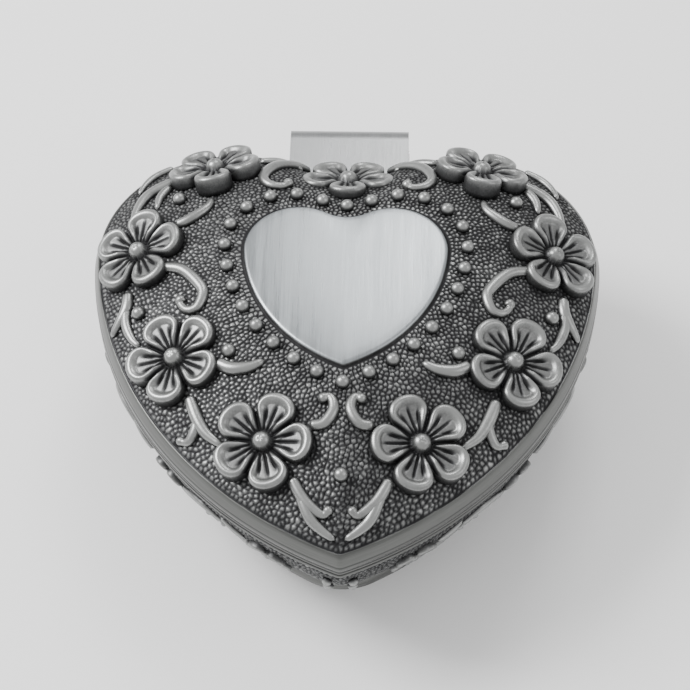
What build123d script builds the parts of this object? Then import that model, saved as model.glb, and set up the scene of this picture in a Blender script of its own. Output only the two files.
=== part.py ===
from build123d import *
from math import atan2, cos, hypot, pi, radians, sin, sqrt, tan
import os

os.makedirs("parts", exist_ok=True)

# ---------------------------------------------------------------- driving sizes, millimetres
# Heart outline: two lobe circles, a hollow cleft arc, two long side arcs, a small tip arc.
HALF_WIDTH = 52.0
LOBE_R = 28.3
CLEFT_R = 19.8
SIDE_R = 82.2
TIP_Y = -72.6
TIP_R = 1.8
DOME_CENTRE_Y = -10.7        # the relief and the dome shrink towards this point

# Heights, from the table up.
PAD_H = 1.0
FLOOR_UNDER_Z = 9.0
FLOOR_T = 2.2
BAND_TOP_Z = 12.0            # plain band round the foot of the base
PARTING_Z = 29.0             # lid meets base
RIM_H = 5.4
DOME_H = 10.75
DOME_POWER = 3.36
PLAQUE_H = 0.7
WALL = 2.0
LID_GAP = 0.1

# Outer wall of the base: inset and tip radius at each height.
BASE_WALL = [(26.5, 0.5, 2.6), (22.0, 1.8, 5.0), (17.0, 4.0, 9.0), (BAND_TOP_Z, 6.9, 12.0)]
BASE_CAVITY = [(PARTING_Z, 2.2, 2.5), (22.0, 3.8, 5.0), (17.0, 6.0, 8.0),
               (FLOOR_UNDER_Z + FLOOR_T, 9.4, 10.0)]
FOOT_BAND_INSET = 6.6
FOOT_BAND_TIP_R = 13.0
RIM_INSET = 1.45

# Hinge behind the cleft.
HINGE_Y = 32.0
HINGE_Z = PARTING_Z + 0.5
COVER_R = 5.2
COVER_BORE_R = 4.1
KNUCKLE_R = 3.6
KNUCKLE_HALF = 8.0
HINGE_HALF = 12.7
PIN_R = 1.1
RUN_FIT = 0.05               # radial clearance of a shaft in its bearing

# Feet.
FOOT_SPOTS = [(-33.0, 0.0), (33.0, 0.0), (0.0, -48.0)]
FOOT_TOP_R = 4.6
FOOT_R = 3.6

# Linings.
VELVET_T = 0.8
LID_PAD_Z = 33.3
LID_PAD_T = 3.0
LID_BOARD_T = 1.0
DIVIDER_Y = -29.4
DIVIDER_T = 1.2

# Movement: bed plate, cylinder axis, winding axis.
BED_Z = FLOOR_UNDER_Z + FLOOR_T
BED_T = 2.0
BED_TOP = BED_Z + BED_T
BED_X = (-25.0, 26.0)
BED_Y = (-28.0, 10.0)
CYL_Y = -4.0
CYL_Z = 25.3
CYL_R = 6.3
CYL_X = (-3.0, 15.6)
PIN_HEIGHT = 0.55
TRACKS = 18
PINS_PER_TRACK = 5
WIND_X = -15.5
WIND_Y = CYL_Y
ARBOR_R = 0.9

CROWN_TEETH = 32
CROWN_PINION_TEETH = 8
CROWN_MODULE = 0.5
CROWN_RADIUS = CROWN_TEETH * CROWN_MODULE / 2
CROWN_FACE = 1.6

WHEEL_TEETH = 48
GOV_PINION_TEETH = 8
WHEEL_MODULE = 0.3
WHEEL_X = (16.0, 17.0)
GOV_Y = CYL_Y + (WHEEL_TEETH + GOV_PINION_TEETH) * WHEEL_MODULE / 2

WORM_TEETH = 20
WORM_MODULE = 0.35
WORM_PITCH_R = 1.2
WORM_X = 20.8
WORM_Y = GOV_Y + WORM_TEETH * WORM_MODULE / 2 + WORM_PITCH_R
FAN_R = 3.2

FRAME_LEFT_X = (17.6, 18.8)
FRAME_RIGHT_X = (22.8, 24.0)
LEVER_PIVOT = (1.0, 21.0)    # y, z
LEVER_X = (24.6, 25.4)

# The heart's own zero is the line through its lobe centres; the part's zero is the middle
# of the whole footprint, hinge included.
SHIFT_Y = -(TIP_Y + HINGE_Y + COVER_R) / 2


# ---------------------------------------------------------------- helpers
def side_centre():
    """Centre of the right-hand side arc: it touches the lobe and the tip arc from inside."""
    lobe = (HALF_WIDTH - LOBE_R, 0.0)
    tip = (0.0, TIP_Y + TIP_R)
    to_lobe = SIDE_R - LOBE_R
    to_tip = SIDE_R - TIP_R
    dx = tip[0] - lobe[0]
    dy = tip[1] - lobe[1]
    gap = hypot(dx, dy)
    along = (to_lobe ** 2 - to_tip ** 2 + gap ** 2) / (2 * gap)
    across = sqrt(to_lobe ** 2 - along ** 2)
    return (lobe[0] + (along * dx + across * dy) / gap, lobe[1] + (along * dy - across * dx) / gap)


def heart_face(inset=0.0, tip_radius=TIP_R, z=0.0, scale=1.0):
    """Heart outline moved inwards by inset, then shrunk towards the dome centre by scale."""
    lobe_x = HALF_WIDTH - LOBE_R
    cleft_cy = sqrt((LOBE_R + CLEFT_R) ** 2 - lobe_x ** 2)
    cx, cy = side_centre()
    lobe_r = LOBE_R - inset
    cleft_r = CLEFT_R + inset
    side_r = SIDE_R - inset
    tip_cy = cy - sqrt((side_r - tip_radius) ** 2 - cx ** 2)
    lobe_start = atan2(cleft_cy, -lobe_x)
    lobe_end = atan2(-cy, lobe_x - cx)
    side_end = atan2(tip_cy - cy, -cx)
    cleft_end = atan2(-cleft_cy, lobe_x)

    def at(centre_x, centre_y, radius, angle):
        x = centre_x + radius * cos(angle)
        y = centre_y + radius * sin(angle)
        return (x * scale, DOME_CENTRE_Y + (y - DOME_CENTRE_Y) * scale, z)

    def other(point):
        return (-point[0], point[1], point[2])

    a = at(0, cleft_cy, cleft_r, cleft_end)
    a_mid = at(0, cleft_cy, cleft_r, -pi / 2)
    b_mid = at(lobe_x, 0, lobe_r, (lobe_start + lobe_end) / 2)
    b = at(lobe_x, 0, lobe_r, lobe_end)
    c_mid = at(cx, cy, side_r, (lobe_end + side_end) / 2)
    c = at(cx, cy, side_r, side_end)
    d_mid = at(0, tip_cy, tip_radius, -pi / 2)
    arcs = [
        ThreePointArc(other(a), a_mid, a),
        ThreePointArc(a, b_mid, b),
        ThreePointArc(b, c_mid, c),
        ThreePointArc(c, d_mid, other(c)),
        ThreePointArc(other(c), other(c_mid), other(b)),
        ThreePointArc(other(b), other(b_mid), other(a)),
    ]
    return Face(Wire(arcs))


def heart_plate(z_low, z_high, inset, tip_radius):
    return extrude(heart_face(inset, tip_radius, z_low), z_high - z_low, dir=(0, 0, 1))


def heart_loft(sections):
    """Straight-sided solid through (z, inset, tip radius) sections."""
    return loft([heart_face(inset, tip, z) for z, inset, tip in sections], ruled=True)


def inset_at(sections, z):
    """Inset and tip radius at height z on a wall given by its sections, highest first."""
    for (z1, inset1, tip1), (z0, inset0, tip0) in zip(sections, sections[1:]):
        if z0 <= z <= z1:
            t = (z - z0) / (z1 - z0)
            return inset0 + t * (inset1 - inset0), tip0 + t * (tip1 - tip0)
    raise ValueError("height is off the wall")


def box(x, y, z):
    """Box from three (low, high) pairs."""
    centre = [(low + high) / 2 for low, high in (x, y, z)]
    return Pos(*centre) * Box(x[1] - x[0], y[1] - y[0], z[1] - z[0])


def rod_z(x, y, z_low, z_high, radius):
    return Pos(x, y, (z_low + z_high) / 2) * Cylinder(radius, z_high - z_low)


def rod_x(x_low, x_high, y, z, radius):
    turned = Rotation(0, 90, 0) * Cylinder(radius, x_high - x_low)
    return Pos((x_low + x_high) / 2, y, z) * turned


def prism_x(points, x_low, x_high):
    """Straight prism along X from (y, z) corners."""
    face = make_face(Polyline([(x_low, y, z) for y, z in points], close=True))
    return extrude(face, x_high - x_low, dir=(1, 0, 0))


def screw_down(x, y, z_seat, radius, head_r, head_h, length):
    """Slotted cheese-head screw, head above z_seat and shank below."""
    head = rod_z(x, y, z_seat, z_seat + head_h, head_r)
    slot = box((x - head_r, x + head_r), (y - 0.2, y + 0.2),
               (z_seat + head_h * 0.5, z_seat + head_h + 0.1))
    return head - slot + rod_z(x, y, z_seat - length, z_seat, radius)


def spur_profile(teeth, module, thin):
    """Gear outline in XY, a tooth centred on +X, teeth thinned by thin for backlash."""
    pitch_r = teeth * module / 2
    outer = pitch_r + 0.85 * module
    root = pitch_r - 1.15 * module
    half_pitch = (pi * module / 2 - thin) / 2 / pitch_r
    half_tip = half_pitch - 0.75 * module * tan(radians(20)) / outer
    half_root = half_pitch + 0.55 * module * tan(radians(20)) / root
    points = []
    for n in range(teeth):
        middle = 2 * pi * n / teeth
        for radius, offset in ((root, -half_root), (pitch_r, -half_pitch), (outer, -half_tip),
                               (outer, half_tip), (pitch_r, half_pitch), (root, half_root)):
            points.append((radius * cos(middle + offset), radius * sin(middle + offset)))
    return make_face(Polyline(points, close=True))


def spur_gear(teeth, module, width, thin, bore, turn=0.0):
    """Spur gear about Z from z = 0 to width, turned by turn degrees."""
    gear = extrude(spur_profile(teeth, module, thin), width)
    gear -= Pos(0, 0, width / 2) * Cylinder(bore, width * 2)
    return Rotation(0, 0, turn) * gear


def along_x(shape, x, y, z):
    """Turn a shape built about Z so that it lies about X, its old +X pointing along +Y."""
    return Pos(x, y, z) * Rotation(90, 90, 0) * shape


def save(name, shape):
    placed = Pos(0, SHIFT_Y, 0) * shape
    placed.label = name
    export_step(placed, f"parts/{name}.step")


# ---------------------------------------------------------------- case
def dome_height(scale):
    return DOME_H * (1 - scale ** DOME_POWER)


def dome_solid(inset, tip_radius, z_foot, lower):
    """Lofted dome through shrinking hearts; lower is taken off the height."""
    shares = (1.0, 0.96, 0.9, 0.82, 0.72, 0.6, 0.48)
    faces = []
    for share in shares:
        height = dome_height(share) * (DOME_H - lower) / DOME_H
        faces.append(heart_face(inset, tip_radius, z_foot + height, share))
    return loft(faces, ruled=True)


def base_shell():
    """Cast lower half with its foot band, feet and hinge knuckle in one piece."""
    top_band = heart_plate(26.5, PARTING_Z, 0.0, TIP_R)
    wall = heart_loft(BASE_WALL)
    foot_band = heart_plate(FLOOR_UNDER_Z, BAND_TOP_Z, FOOT_BAND_INSET, FOOT_BAND_TIP_R)
    shell = top_band + wall + foot_band
    neck = prism_x([(20.6, 28.6), (HINGE_Y - 3.3, 28.6), (HINGE_Y, HINGE_Z),
                    (HINGE_Y - 0.9, HINGE_Z - 3.4), (19.2, 20.0)], -KNUCKLE_HALF, KNUCKLE_HALF)
    knuckle = rod_x(-KNUCKLE_HALF, KNUCKLE_HALF, HINGE_Y, HINGE_Z, KNUCKLE_R)
    shell += neck + knuckle
    for x, y in FOOT_SPOTS:
        shell += Pos(x, y, (PAD_H + FLOOR_UNDER_Z) / 2) * Cone(
            FOOT_R, FOOT_TOP_R, FLOOR_UNDER_Z - PAD_H + 0.4)
    shell -= heart_loft(BASE_CAVITY)
    shell -= rod_x(-HINGE_HALF, HINGE_HALF, HINGE_Y, HINGE_Z, PIN_R + RUN_FIT)
    shell -= rod_z(WIND_X, WIND_Y, 0, BED_Z + 1, 2.4)
    for x, y in MOUNT_SPOTS:
        shell -= rod_z(x, y, FLOOR_UNDER_Z - 1, BED_Z + 1, 1.4)
    for x, y in FOOT_SPOTS:
        shell -= rod_z(x, y, 0, PAD_H, FOOT_TOP_R)
    return shell


def lid_hollow(clear=0.0):
    """Room inside the lid, kept clear of the metal by clear."""
    low = PARTING_Z + LID_GAP
    foot = PARTING_Z + RIM_H - 1.0
    wall = WALL + clear
    room = heart_plate(low - 1, low + 2.0, wall, TIP_R)
    room += loft([heart_face(wall, TIP_R, low + 2.0),
                  heart_face(RIM_INSET + wall, TIP_R, foot)], ruled=True)
    return room + dome_solid(RIM_INSET + wall, TIP_R, foot, 0.9 + clear)


def lid_shell():
    """Cast domed lid with its engraving plaque, hinge cover and striker in one piece."""
    low = PARTING_Z + LID_GAP
    rim_top = PARTING_Z + RIM_H
    outer = heart_plate(low, low + 2.0, 0.0, TIP_R)
    outer += loft([heart_face(0.0, TIP_R, low + 2.0),
                   heart_face(RIM_INSET, TIP_R, rim_top)], ruled=True)
    outer += dome_solid(RIM_INSET, TIP_R, rim_top, 0.0)
    top = rim_top + dome_height(0.48)
    plaque = extrude(heart_face(RIM_INSET, 3.0, top - 1.2, 0.43), 1.2 + DOME_H * 0.085 + PLAQUE_H,
                     dir=(0, 0, 1))
    shell = outer + plaque - lid_hollow()
    striker = box((23.6, 26.4), (23.4, 27.4), (low + 0.2, 36.0))
    shell += striker & outer
    top_z = HINGE_Z + COVER_R
    leaf = box((-HINGE_HALF, HINGE_HALF), (20.8, HINGE_Y), (HINGE_Z - 0.1, top_z))
    barrel = rod_x(-HINGE_HALF, HINGE_HALF, HINGE_Y, HINGE_Z, COVER_R)
    barrel -= box((-20, 20), (HINGE_Y - 9, HINGE_Y + 9), (HINGE_Z - 9, HINGE_Z))
    cover = leaf + barrel
    half = KNUCKLE_HALF + 0.3
    cover -= rod_x(-half, half, HINGE_Y, HINGE_Z, COVER_BORE_R)
    for low_x, high_x in ((-HINGE_HALF, -half), (half, HINGE_HALF)):
        cover += rod_x(low_x, high_x, HINGE_Y, HINGE_Z, KNUCKLE_R)
    shell += cover
    shell -= rod_x(-HINGE_HALF - 1, HINGE_HALF + 1, HINGE_Y, HINGE_Z, PIN_R)
    return shell


def hinge_pin():
    return rod_x(-HINGE_HALF - 0.2, HINGE_HALF + 0.2, HINGE_Y, HINGE_Z, PIN_R)


def foot_pads():
    return Compound([rod_z(x, y, 0, PAD_H, FOOT_R - 0.2) for x, y in FOOT_SPOTS])


# ---------------------------------------------------------------- linings
def floor_lining():
    inset, tip = inset_at(BASE_CAVITY, BED_Z)
    sheet = heart_plate(BED_Z, BED_Z + VELVET_T, inset + 0.2, tip)
    margin = 0.4
    return sheet - box((BED_X[0] - margin, BED_X[1] + margin), (BED_Y[0] - margin, BED_Y[1] + margin),
                       (BED_Z - 1, BED_Z + 2))


def wall_lining():
    heights = (PARTING_Z - 0.6, 22.0, 17.0, BED_Z + VELVET_T + 0.2)
    outer = []
    inner = []
    for z in heights:
        inset, tip = inset_at(BASE_CAVITY, z)
        outer.append((z, inset + 0.1, tip))
        inner.append((z, inset + 0.1 + VELVET_T, tip))
    return heart_loft(outer) - heart_loft(inner)


def lined_width(z):
    """Inset and tip radius just inside the wall lining at height z."""
    inset, tip = inset_at(BASE_CAVITY, z)
    return inset + VELVET_T + 0.4, tip


def divider():
    """Upright card that parts the keepsake space from the movement."""
    low = BED_Z + VELVET_T + 0.1
    high = 26.0
    room = heart_loft([(z, *lined_width(z)) for z in (high, 22.0, 17.0, low)])
    return room & box((-60, 60), (DIVIDER_Y - DIVIDER_T, DIVIDER_Y), (low, high))


def ring_cushion():
    """Soft cushion on the floor of the keepsake space."""
    low = BED_Z + VELVET_T + 0.1
    inset, tip = lined_width(low)
    plate = heart_plate(low, low + 2.6, inset + 0.4, tip)
    return plate & box((-60, 60), (-90, DIVIDER_Y - DIVIDER_T - 0.6), (low, low + 5))


def lid_slab(low, high):
    """Slice of the lid's hollow, notched round the striker."""
    slab = lid_hollow(0.5) & box((-60, 60), (-80, 40), (low, high))
    return slab - box((22.8, 27.2), (22.6, 30.0), (low - 1, high + 1))


def lid_pad():
    return lid_slab(LID_PAD_Z, LID_PAD_Z + LID_PAD_T)


def lid_board():
    low = LID_PAD_Z + LID_PAD_T + 0.05
    return lid_slab(low, low + LID_BOARD_T)


# ---------------------------------------------------------------- movement: bed and fixings
MOUNT_SPOTS = [(-22.0, -24.5), (23.0, -24.5), (4.0, 7.0)]
COMB_SHELF_Y = (BED_Y[0], -20.5)
COMB_X = (-3.6, 16.2)
COMB_Z = CYL_Z - 0.6
COMB_SCREW_X = (1.2, 11.4)
COMB_SCREW_Y = -24.4
BRACKET_SCREWS = [(-1.6, CYL_Y - 2.6), (-1.6, CYL_Y + 2.6)]
GOV_SCREWS = [(20.8, -5.0), (20.8, 1.2)]


def bedplate():
    """Cast bed with the raised shelf that carries the comb."""
    bed = box(BED_X, BED_Y, (BED_Z, BED_TOP))
    bed += box(COMB_X, COMB_SHELF_Y, (BED_TOP, COMB_Z))
    for x, y in MOUNT_SPOTS:
        bed += rod_z(x, y, BED_TOP, BED_TOP + 1.6, 2.4)
        bed -= rod_z(x, y, BED_Z - 1, BED_TOP + 1.2, 1.3)
    bed -= rod_z(WIND_X, WIND_Y, BED_Z - 1, BED_TOP + 1, 1.5 + RUN_FIT)
    for x in COMB_SCREW_X:
        bed -= rod_z(x, COMB_SCREW_Y, COMB_Z - 4.2, COMB_Z + 1, 1.0)
    for x, y in BRACKET_SCREWS + GOV_SCREWS:
        bed -= rod_z(x, y, BED_Z - 1, BED_TOP + 1, 0.8)
    return bed


def mounting_screws():
    """Screws driven up through the floor of the base, heads underneath."""
    screws = []
    for x, y in MOUNT_SPOTS:
        head = rod_z(x, y, 7.3, FLOOR_UNDER_Z - 0.3, 2.3)
        slot = box((x - 2.4, x + 2.4), (y - 0.3, y + 0.3), (7.2, 7.9))
        screws.append(head - slot + rod_z(x, y, FLOOR_UNDER_Z - 0.3, BED_TOP + 1.0, 1.3))
    return Compound(screws)


def mounting_washers():
    rings = []
    for x, y in MOUNT_SPOTS:
        ring = rod_z(x, y, FLOOR_UNDER_Z - 0.3, FLOOR_UNDER_Z, 3.0)
        rings.append(ring - rod_z(x, y, 8, 10, 1.35))
    return Compound(rings)


# ---------------------------------------------------------------- movement: winding side
HOUSING_R = 9.2
HOUSING_TOP = 20.6
WIND_R = 1.5
WEB_Z = (21.0, 22.0)


def spring_housing():
    drum = rod_z(WIND_X, WIND_Y, BED_TOP, HOUSING_TOP, HOUSING_R)
    drum -= rod_z(WIND_X, WIND_Y, BED_TOP - 1, HOUSING_TOP - 0.8, HOUSING_R - 0.8)
    return drum - rod_z(WIND_X, WIND_Y, BED_TOP, HOUSING_TOP + 1, WIND_R + RUN_FIT)


def mainspring():
    """Flat spiral spring, inner end at the arbor and outer end at the housing wall."""
    thickness = 0.35
    start_r = 1.9
    end_r = HOUSING_R - 0.8 - thickness - 0.25
    turns = 6.5
    steps = 78

    def edge(extra):
        points = []
        for n in range(steps + 1):
            share = n / steps
            radius = start_r + (end_r - start_r) * share + extra
            angle = 2 * pi * turns * share
            points.append((radius * cos(angle), radius * sin(angle), 0))
        return points

    inner = edge(0)
    outer = edge(thickness)
    lines = [Spline(inner), Line(inner[-1], outer[-1]), Spline(outer[::-1]), Line(outer[0], inner[0])]
    strip = extrude(Face(Wire(lines)), 5.0, dir=(0, 0, 1))
    return Pos(WIND_X, WIND_Y, BED_TOP + 0.5) * strip


def winding_arbor():
    """Shaft from the key, through the bed and housing, up to the great wheel."""
    shaft = rod_z(WIND_X, WIND_Y, 5.4, 23.6, WIND_R)
    return shaft + rod_z(WIND_X, WIND_Y, 23.6, 23.9, WIND_R - 0.3)


def winding_key():
    """Butterfly key screwed on the lower end of the arbor."""
    boss = rod_z(WIND_X, WIND_Y, 4.4, 8.4, 2.6)
    wings = box((WIND_X - 9.0, WIND_X + 9.0), (WIND_Y - 0.8, WIND_Y + 0.8), (1.8, 5.6))
    wings = wings + boss
    for side in (-1, 1):
        wings += Pos(WIND_X + side * 7.6, WIND_Y, 3.9) * Rotation(90, 0, 0) * Cylinder(2.3, 1.6)
        wings -= Pos(WIND_X + side * 7.2, WIND_Y, 3.9) * Rotation(90, 0, 0) * Cylinder(1.0, 4)
    return wings - rod_z(WIND_X, WIND_Y, 5.4, 9, WIND_R)


def great_wheel():
    """Wheel over the spring with crown teeth standing up at its edge."""
    pitch_z = CYL_Z - CROWN_PINION_TEETH * CROWN_MODULE / 2
    inner_r = CROWN_RADIUS - CROWN_FACE / 2
    outer_r = CROWN_RADIUS + CROWN_FACE / 2
    root_z = pitch_z - 0.7
    web = rod_z(0, 0, *WEB_Z, outer_r)
    rim = rod_z(0, 0, WEB_Z[1], root_z, outer_r) - rod_z(0, 0, WEB_Z[0], root_z + 1, inner_r)
    wheel = web + rim - rod_z(0, 0, WEB_Z[0] - 1, root_z + 1, WIND_R)
    slope = tan(radians(20))
    half = 0.27
    profile = [(-half - 0.7 * slope, root_z - 0.05), (-half + 0.36 * slope, pitch_z + 0.36),
               (half - 0.36 * slope, pitch_z + 0.36), (half + 0.7 * slope, root_z - 0.05)]
    tooth = prism_x(profile, inner_r + 0.1, outer_r - 0.15)
    teeth = [Rotation(0, 0, 360 * n / CROWN_TEETH) * tooth for n in range(CROWN_TEETH)]
    return Pos(WIND_X, WIND_Y, 0) * (wheel + teeth)


def ratchet_wheel():
    points = []
    teeth = 14
    for n in range(teeth):
        angle = 2 * pi * n / teeth
        points.append((4.2 * cos(angle), 4.2 * sin(angle)))
        points.append((3.4 * cos(angle + 0.05), 3.4 * sin(angle + 0.05)))
    disc = extrude(make_face(Polyline(points, close=True)), 0.9)
    disc -= Cylinder(WIND_R, 4)
    return Pos(WIND_X, WIND_Y, WEB_Z[1] + 0.1) * disc


CLICK_PIVOT = (-2.0, -5.6)    # from the winding axis


def click():
    """Pawl on the great wheel that lets the key wind one way only."""
    px, py = CLICK_PIVOT
    arm = make_face(Polyline([(px - 0.6, py - 0.5), (px + 3.4, py + 0.7), (px + 3.2, py + 1.35),
                              (px - 0.6, py + 0.6)], close=True))
    body = extrude(arm, 0.8) + Pos(px, py, 0.4) * Cylinder(0.9, 0.8)
    body -= Pos(px, py, 0) * Cylinder(0.5, 4)
    return Pos(WIND_X, WIND_Y, WEB_Z[1] + 0.1) * body


def click_screw():
    x = WIND_X + CLICK_PIVOT[0]
    y = WIND_Y + CLICK_PIVOT[1]
    return screw_down(x, y, WEB_Z[1] + 0.95, 0.45, 0.8, 0.5, 0.9)


# ---------------------------------------------------------------- movement: cylinder and comb
def cylinder():
    drum = rod_x(*CYL_X, CYL_Y, CYL_Z, CYL_R)
    bore = rod_x(CYL_X[0] + 0.8, CYL_X[1] - 0.8, CYL_Y, CYL_Z, CYL_R - 0.5)
    return drum - bore - rod_x(CYL_X[0] - 1, CYL_X[1] + 1, CYL_Y, CYL_Z, ARBOR_R)


def track_x(track):
    pitch = (COMB_X[1] - COMB_X[0] - 1.8) / (TRACKS - 1)
    return COMB_X[0] + 0.9 + pitch * track


def cylinder_pins():
    """Tune pins, a few on every track, at angles that never repeat from track to track."""
    pins = []
    for track in range(TRACKS):
        for n in range(PINS_PER_TRACK):
            angle = 360 / PINS_PER_TRACK * n + (track * 47) % 67
            pin = Pos(0, CYL_R + PIN_HEIGHT / 2, 0) * Rotation(90, 0, 0) * Cylinder(0.2, PIN_HEIGHT)
            pins.append(Pos(track_x(track), CYL_Y, CYL_Z) * Rotation(angle, 0, 0) * pin)
    return Compound(pins)


def cylinder_arbor():
    return rod_x(-8.5, FRAME_LEFT_X[1] + 0.4, CYL_Y, CYL_Z, ARBOR_R)


def cylinder_pinion():
    """Small pinion driven by the crown teeth; a gap faces the wheel below."""
    width = 1.2
    gear = spur_gear(CROWN_PINION_TEETH, CROWN_MODULE, width, 0.24, ARBOR_R, turn=180 / 8)
    return along_x(gear, WIND_X + CROWN_RADIUS - width / 2, CYL_Y, CYL_Z)


def cylinder_wheel():
    """Large wheel at the other end that drives the governor; a tooth faces the governor."""
    width = WHEEL_X[1] - WHEEL_X[0]
    gear = spur_gear(WHEEL_TEETH, WHEEL_MODULE, width, 0.16, ARBOR_R)
    return along_x(gear, WHEEL_X[0], CYL_Y, CYL_Z)


def cylinder_bearing():
    """Bent bracket that carries the pinion end of the cylinder arbor."""
    plate = box((-5.6, -4.4), (CYL_Y - 4.2, CYL_Y + 4.2), (BED_TOP, CYL_Z + 2.4))
    foot = box((-5.6, 0.6), (CYL_Y - 4.2, CYL_Y + 4.2), (BED_TOP, BED_TOP + 1.2))
    body = plate + foot - rod_x(-7, -3, CYL_Y, CYL_Z, ARBOR_R + RUN_FIT)
    for x, y in BRACKET_SCREWS:
        body -= rod_z(x, y, BED_TOP - 1, BED_TOP + 3, 0.85)
    return body


def bearing_screws():
    return Compound([screw_down(x, y, BED_TOP + 1.2, 0.8, 1.4, 0.9, 2.6) for x, y in BRACKET_SCREWS])


def comb():
    """Steel comb: a thick root on the shelf and eighteen tuned teeth."""
    thick = 0.9
    body = box(COMB_X, (BED_Y[0], -19.6), (COMB_Z, COMB_Z + 1.5))
    tip_y = CYL_Y - CYL_R - PIN_HEIGHT - 0.1
    for track in range(TRACKS):
        middle = track_x(track)
        body += box((middle - 0.4, middle + 0.4), (-19.7, tip_y), (COMB_Z + 0.2, COMB_Z + 0.2 + thick))
    for x in COMB_SCREW_X:
        body -= rod_z(x, COMB_SCREW_Y, COMB_Z - 1, COMB_Z + 3, 1.05)
    return body


def comb_screws():
    seat = COMB_Z + 1.5
    return Compound([screw_down(x, COMB_SCREW_Y, seat, 1.0, 1.9, 1.1, 5.0) for x in COMB_SCREW_X])


# ---------------------------------------------------------------- movement: governor
def governor_frame():
    """U frame: cylinder end bearing, governor arbor bearings and both worm pivots."""
    top = 30.2
    left = box(FRAME_LEFT_X, (-8.2, 6.0), (BED_TOP, CYL_Z + 2.4))
    left += box(FRAME_LEFT_X, (2.6, 6.0), (BED_TOP, top))
    right = box(FRAME_RIGHT_X, (-1.0, 6.0), (BED_TOP, top))
    foot = box((FRAME_LEFT_X[0], FRAME_RIGHT_X[1]), (-8.2, 10.0), (BED_TOP, BED_TOP + 1.2))
    bridge = box((FRAME_LEFT_X[0], FRAME_RIGHT_X[1]), (2.6, 10.4), (top - 1.0, top))
    body = left + right + foot + bridge
    body -= rod_x(17, 19.5, CYL_Y, CYL_Z, ARBOR_R + RUN_FIT)
    body -= rod_x(17, 25, GOV_Y, CYL_Z, 0.5 + RUN_FIT)
    body -= rod_x(22, 25, *LEVER_PIVOT, 0.6)
    body -= rod_z(WORM_X, WORM_Y, BED_TOP + 0.4, top + 1, 0.5 + RUN_FIT)
    for x, y in GOV_SCREWS:
        body -= rod_z(x, y, BED_TOP - 1, BED_TOP + 3, 0.85)
    return body


def governor_screws():
    return Compound([screw_down(x, y, BED_TOP + 1.2, 0.8, 1.4, 0.9, 2.6) for x, y in GOV_SCREWS])


def governor_arbor():
    return rod_x(15.8, 24.3, GOV_Y, CYL_Z, 0.5)


def governor_pinion():
    """Pinion on the governor arbor; a gap faces the cylinder wheel."""
    gear = spur_gear(GOV_PINION_TEETH, WHEEL_MODULE, 1.2, 0.16, 0.5, turn=180 / GOV_PINION_TEETH)
    return along_x(gear, 15.9, GOV_Y, CYL_Z)


def worm_wheel():
    gear = spur_gear(WORM_TEETH, WORM_MODULE, 0.9, 0.24, 0.5)
    return along_x(gear, WORM_X - 0.45, GOV_Y, CYL_Z)


def worm():
    """Endless screw with its thin shaft; the thread meets a gap of the worm wheel."""
    shaft = rod_z(WORM_X, WORM_Y, BED_TOP + 0.5, 30.6, 0.5)
    half_length = 2.2
    core_r = WORM_PITCH_R - 0.3
    core = rod_z(WORM_X, WORM_Y, CYL_Z - half_length, CYL_Z + half_length, core_r)
    lead = pi * WORM_MODULE
    turns = 3
    helix = Helix(pitch=lead, height=lead * turns, radius=core_r)
    start = helix @ 0
    section = Plane(origin=start, x_dir=(1, 0, 0), z_dir=(0, 1, 0)) * Polyline(
        [(-0.15, -0.2), (0.55, -0.09), (0.55, 0.09), (-0.15, 0.2)], close=True)
    thread = sweep(make_face(section), path=helix, is_frenet=True)
    # the thread starts on +X; half a pitch of height puts its groove level with a tooth
    lift = CYL_Z - lead * turns / 2 + lead * WORM_THREAD_PHASE
    return shaft + core + Pos(WORM_X, WORM_Y, lift) * thread


WORM_THREAD_PHASE = 0.25


def air_fan():
    """Two-bladed air brake on the worm shaft."""
    low = BED_TOP + 2.0
    high = 20.4
    fan = rod_z(WORM_X, WORM_Y, low, high, 0.9)
    fan += box((WORM_X - FAN_R, WORM_X + FAN_R), (WORM_Y - 0.15, WORM_Y + 0.15), (low, high))
    return fan - rod_z(WORM_X, WORM_Y, low - 1, high + 1, 0.5)


def stop_lever():
    """Lever under the lid's striker; its finger stands behind the fan."""
    y0, z0 = LEVER_PIVOT
    arm = prism_x([(y0 - 1.3, z0 - 1.2), (12.6, z0 - 1.2), (12.6, 16.2), (13.4, 16.2),
                   (13.4, z0 - 1.2), (15.4, z0 - 0.6), (24.7, 28.0), (24.7, 28.9),
                   (22.6, 28.9), (14.4, z0 + 1.0), (y0 - 1.3, z0 + 1.2)], *LEVER_X)
    finger = box((20.4, LEVER_X[1]), (12.6, 13.4), (16.2, 17.4))
    return arm + finger - rod_x(24, 26, y0, z0, 0.6 + RUN_FIT)


def stop_lever_pin():
    y0, z0 = LEVER_PIVOT
    return rod_x(FRAME_RIGHT_X[0], 25.6, y0, z0, 0.6) + rod_x(25.6, 26.1, y0, z0, 1.1)


PARTS = [
    base_shell, lid_shell, hinge_pin, foot_pads,
    floor_lining, wall_lining, divider, ring_cushion, lid_pad, lid_board,
    bedplate, mounting_screws, mounting_washers,
    spring_housing, mainspring, winding_arbor, winding_key, great_wheel, ratchet_wheel, click,
    click_screw,
    cylinder, cylinder_pins, cylinder_arbor, cylinder_pinion, cylinder_wheel, cylinder_bearing,
    bearing_screws, comb, comb_screws,
    governor_frame, governor_screws, governor_arbor, governor_pinion, worm_wheel, worm, air_fan,
    stop_lever, stop_lever_pin,
]

for build in PARTS:
    save(build.__name__, build())
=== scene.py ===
"""Looks of the heart-shaped wind-up music box: cast pewter case, velvet linings, brass and steel movement."""
import math

import bmesh
import bpy
import numpy as np
from mathutils import Matrix, Vector, kdtree


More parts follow.
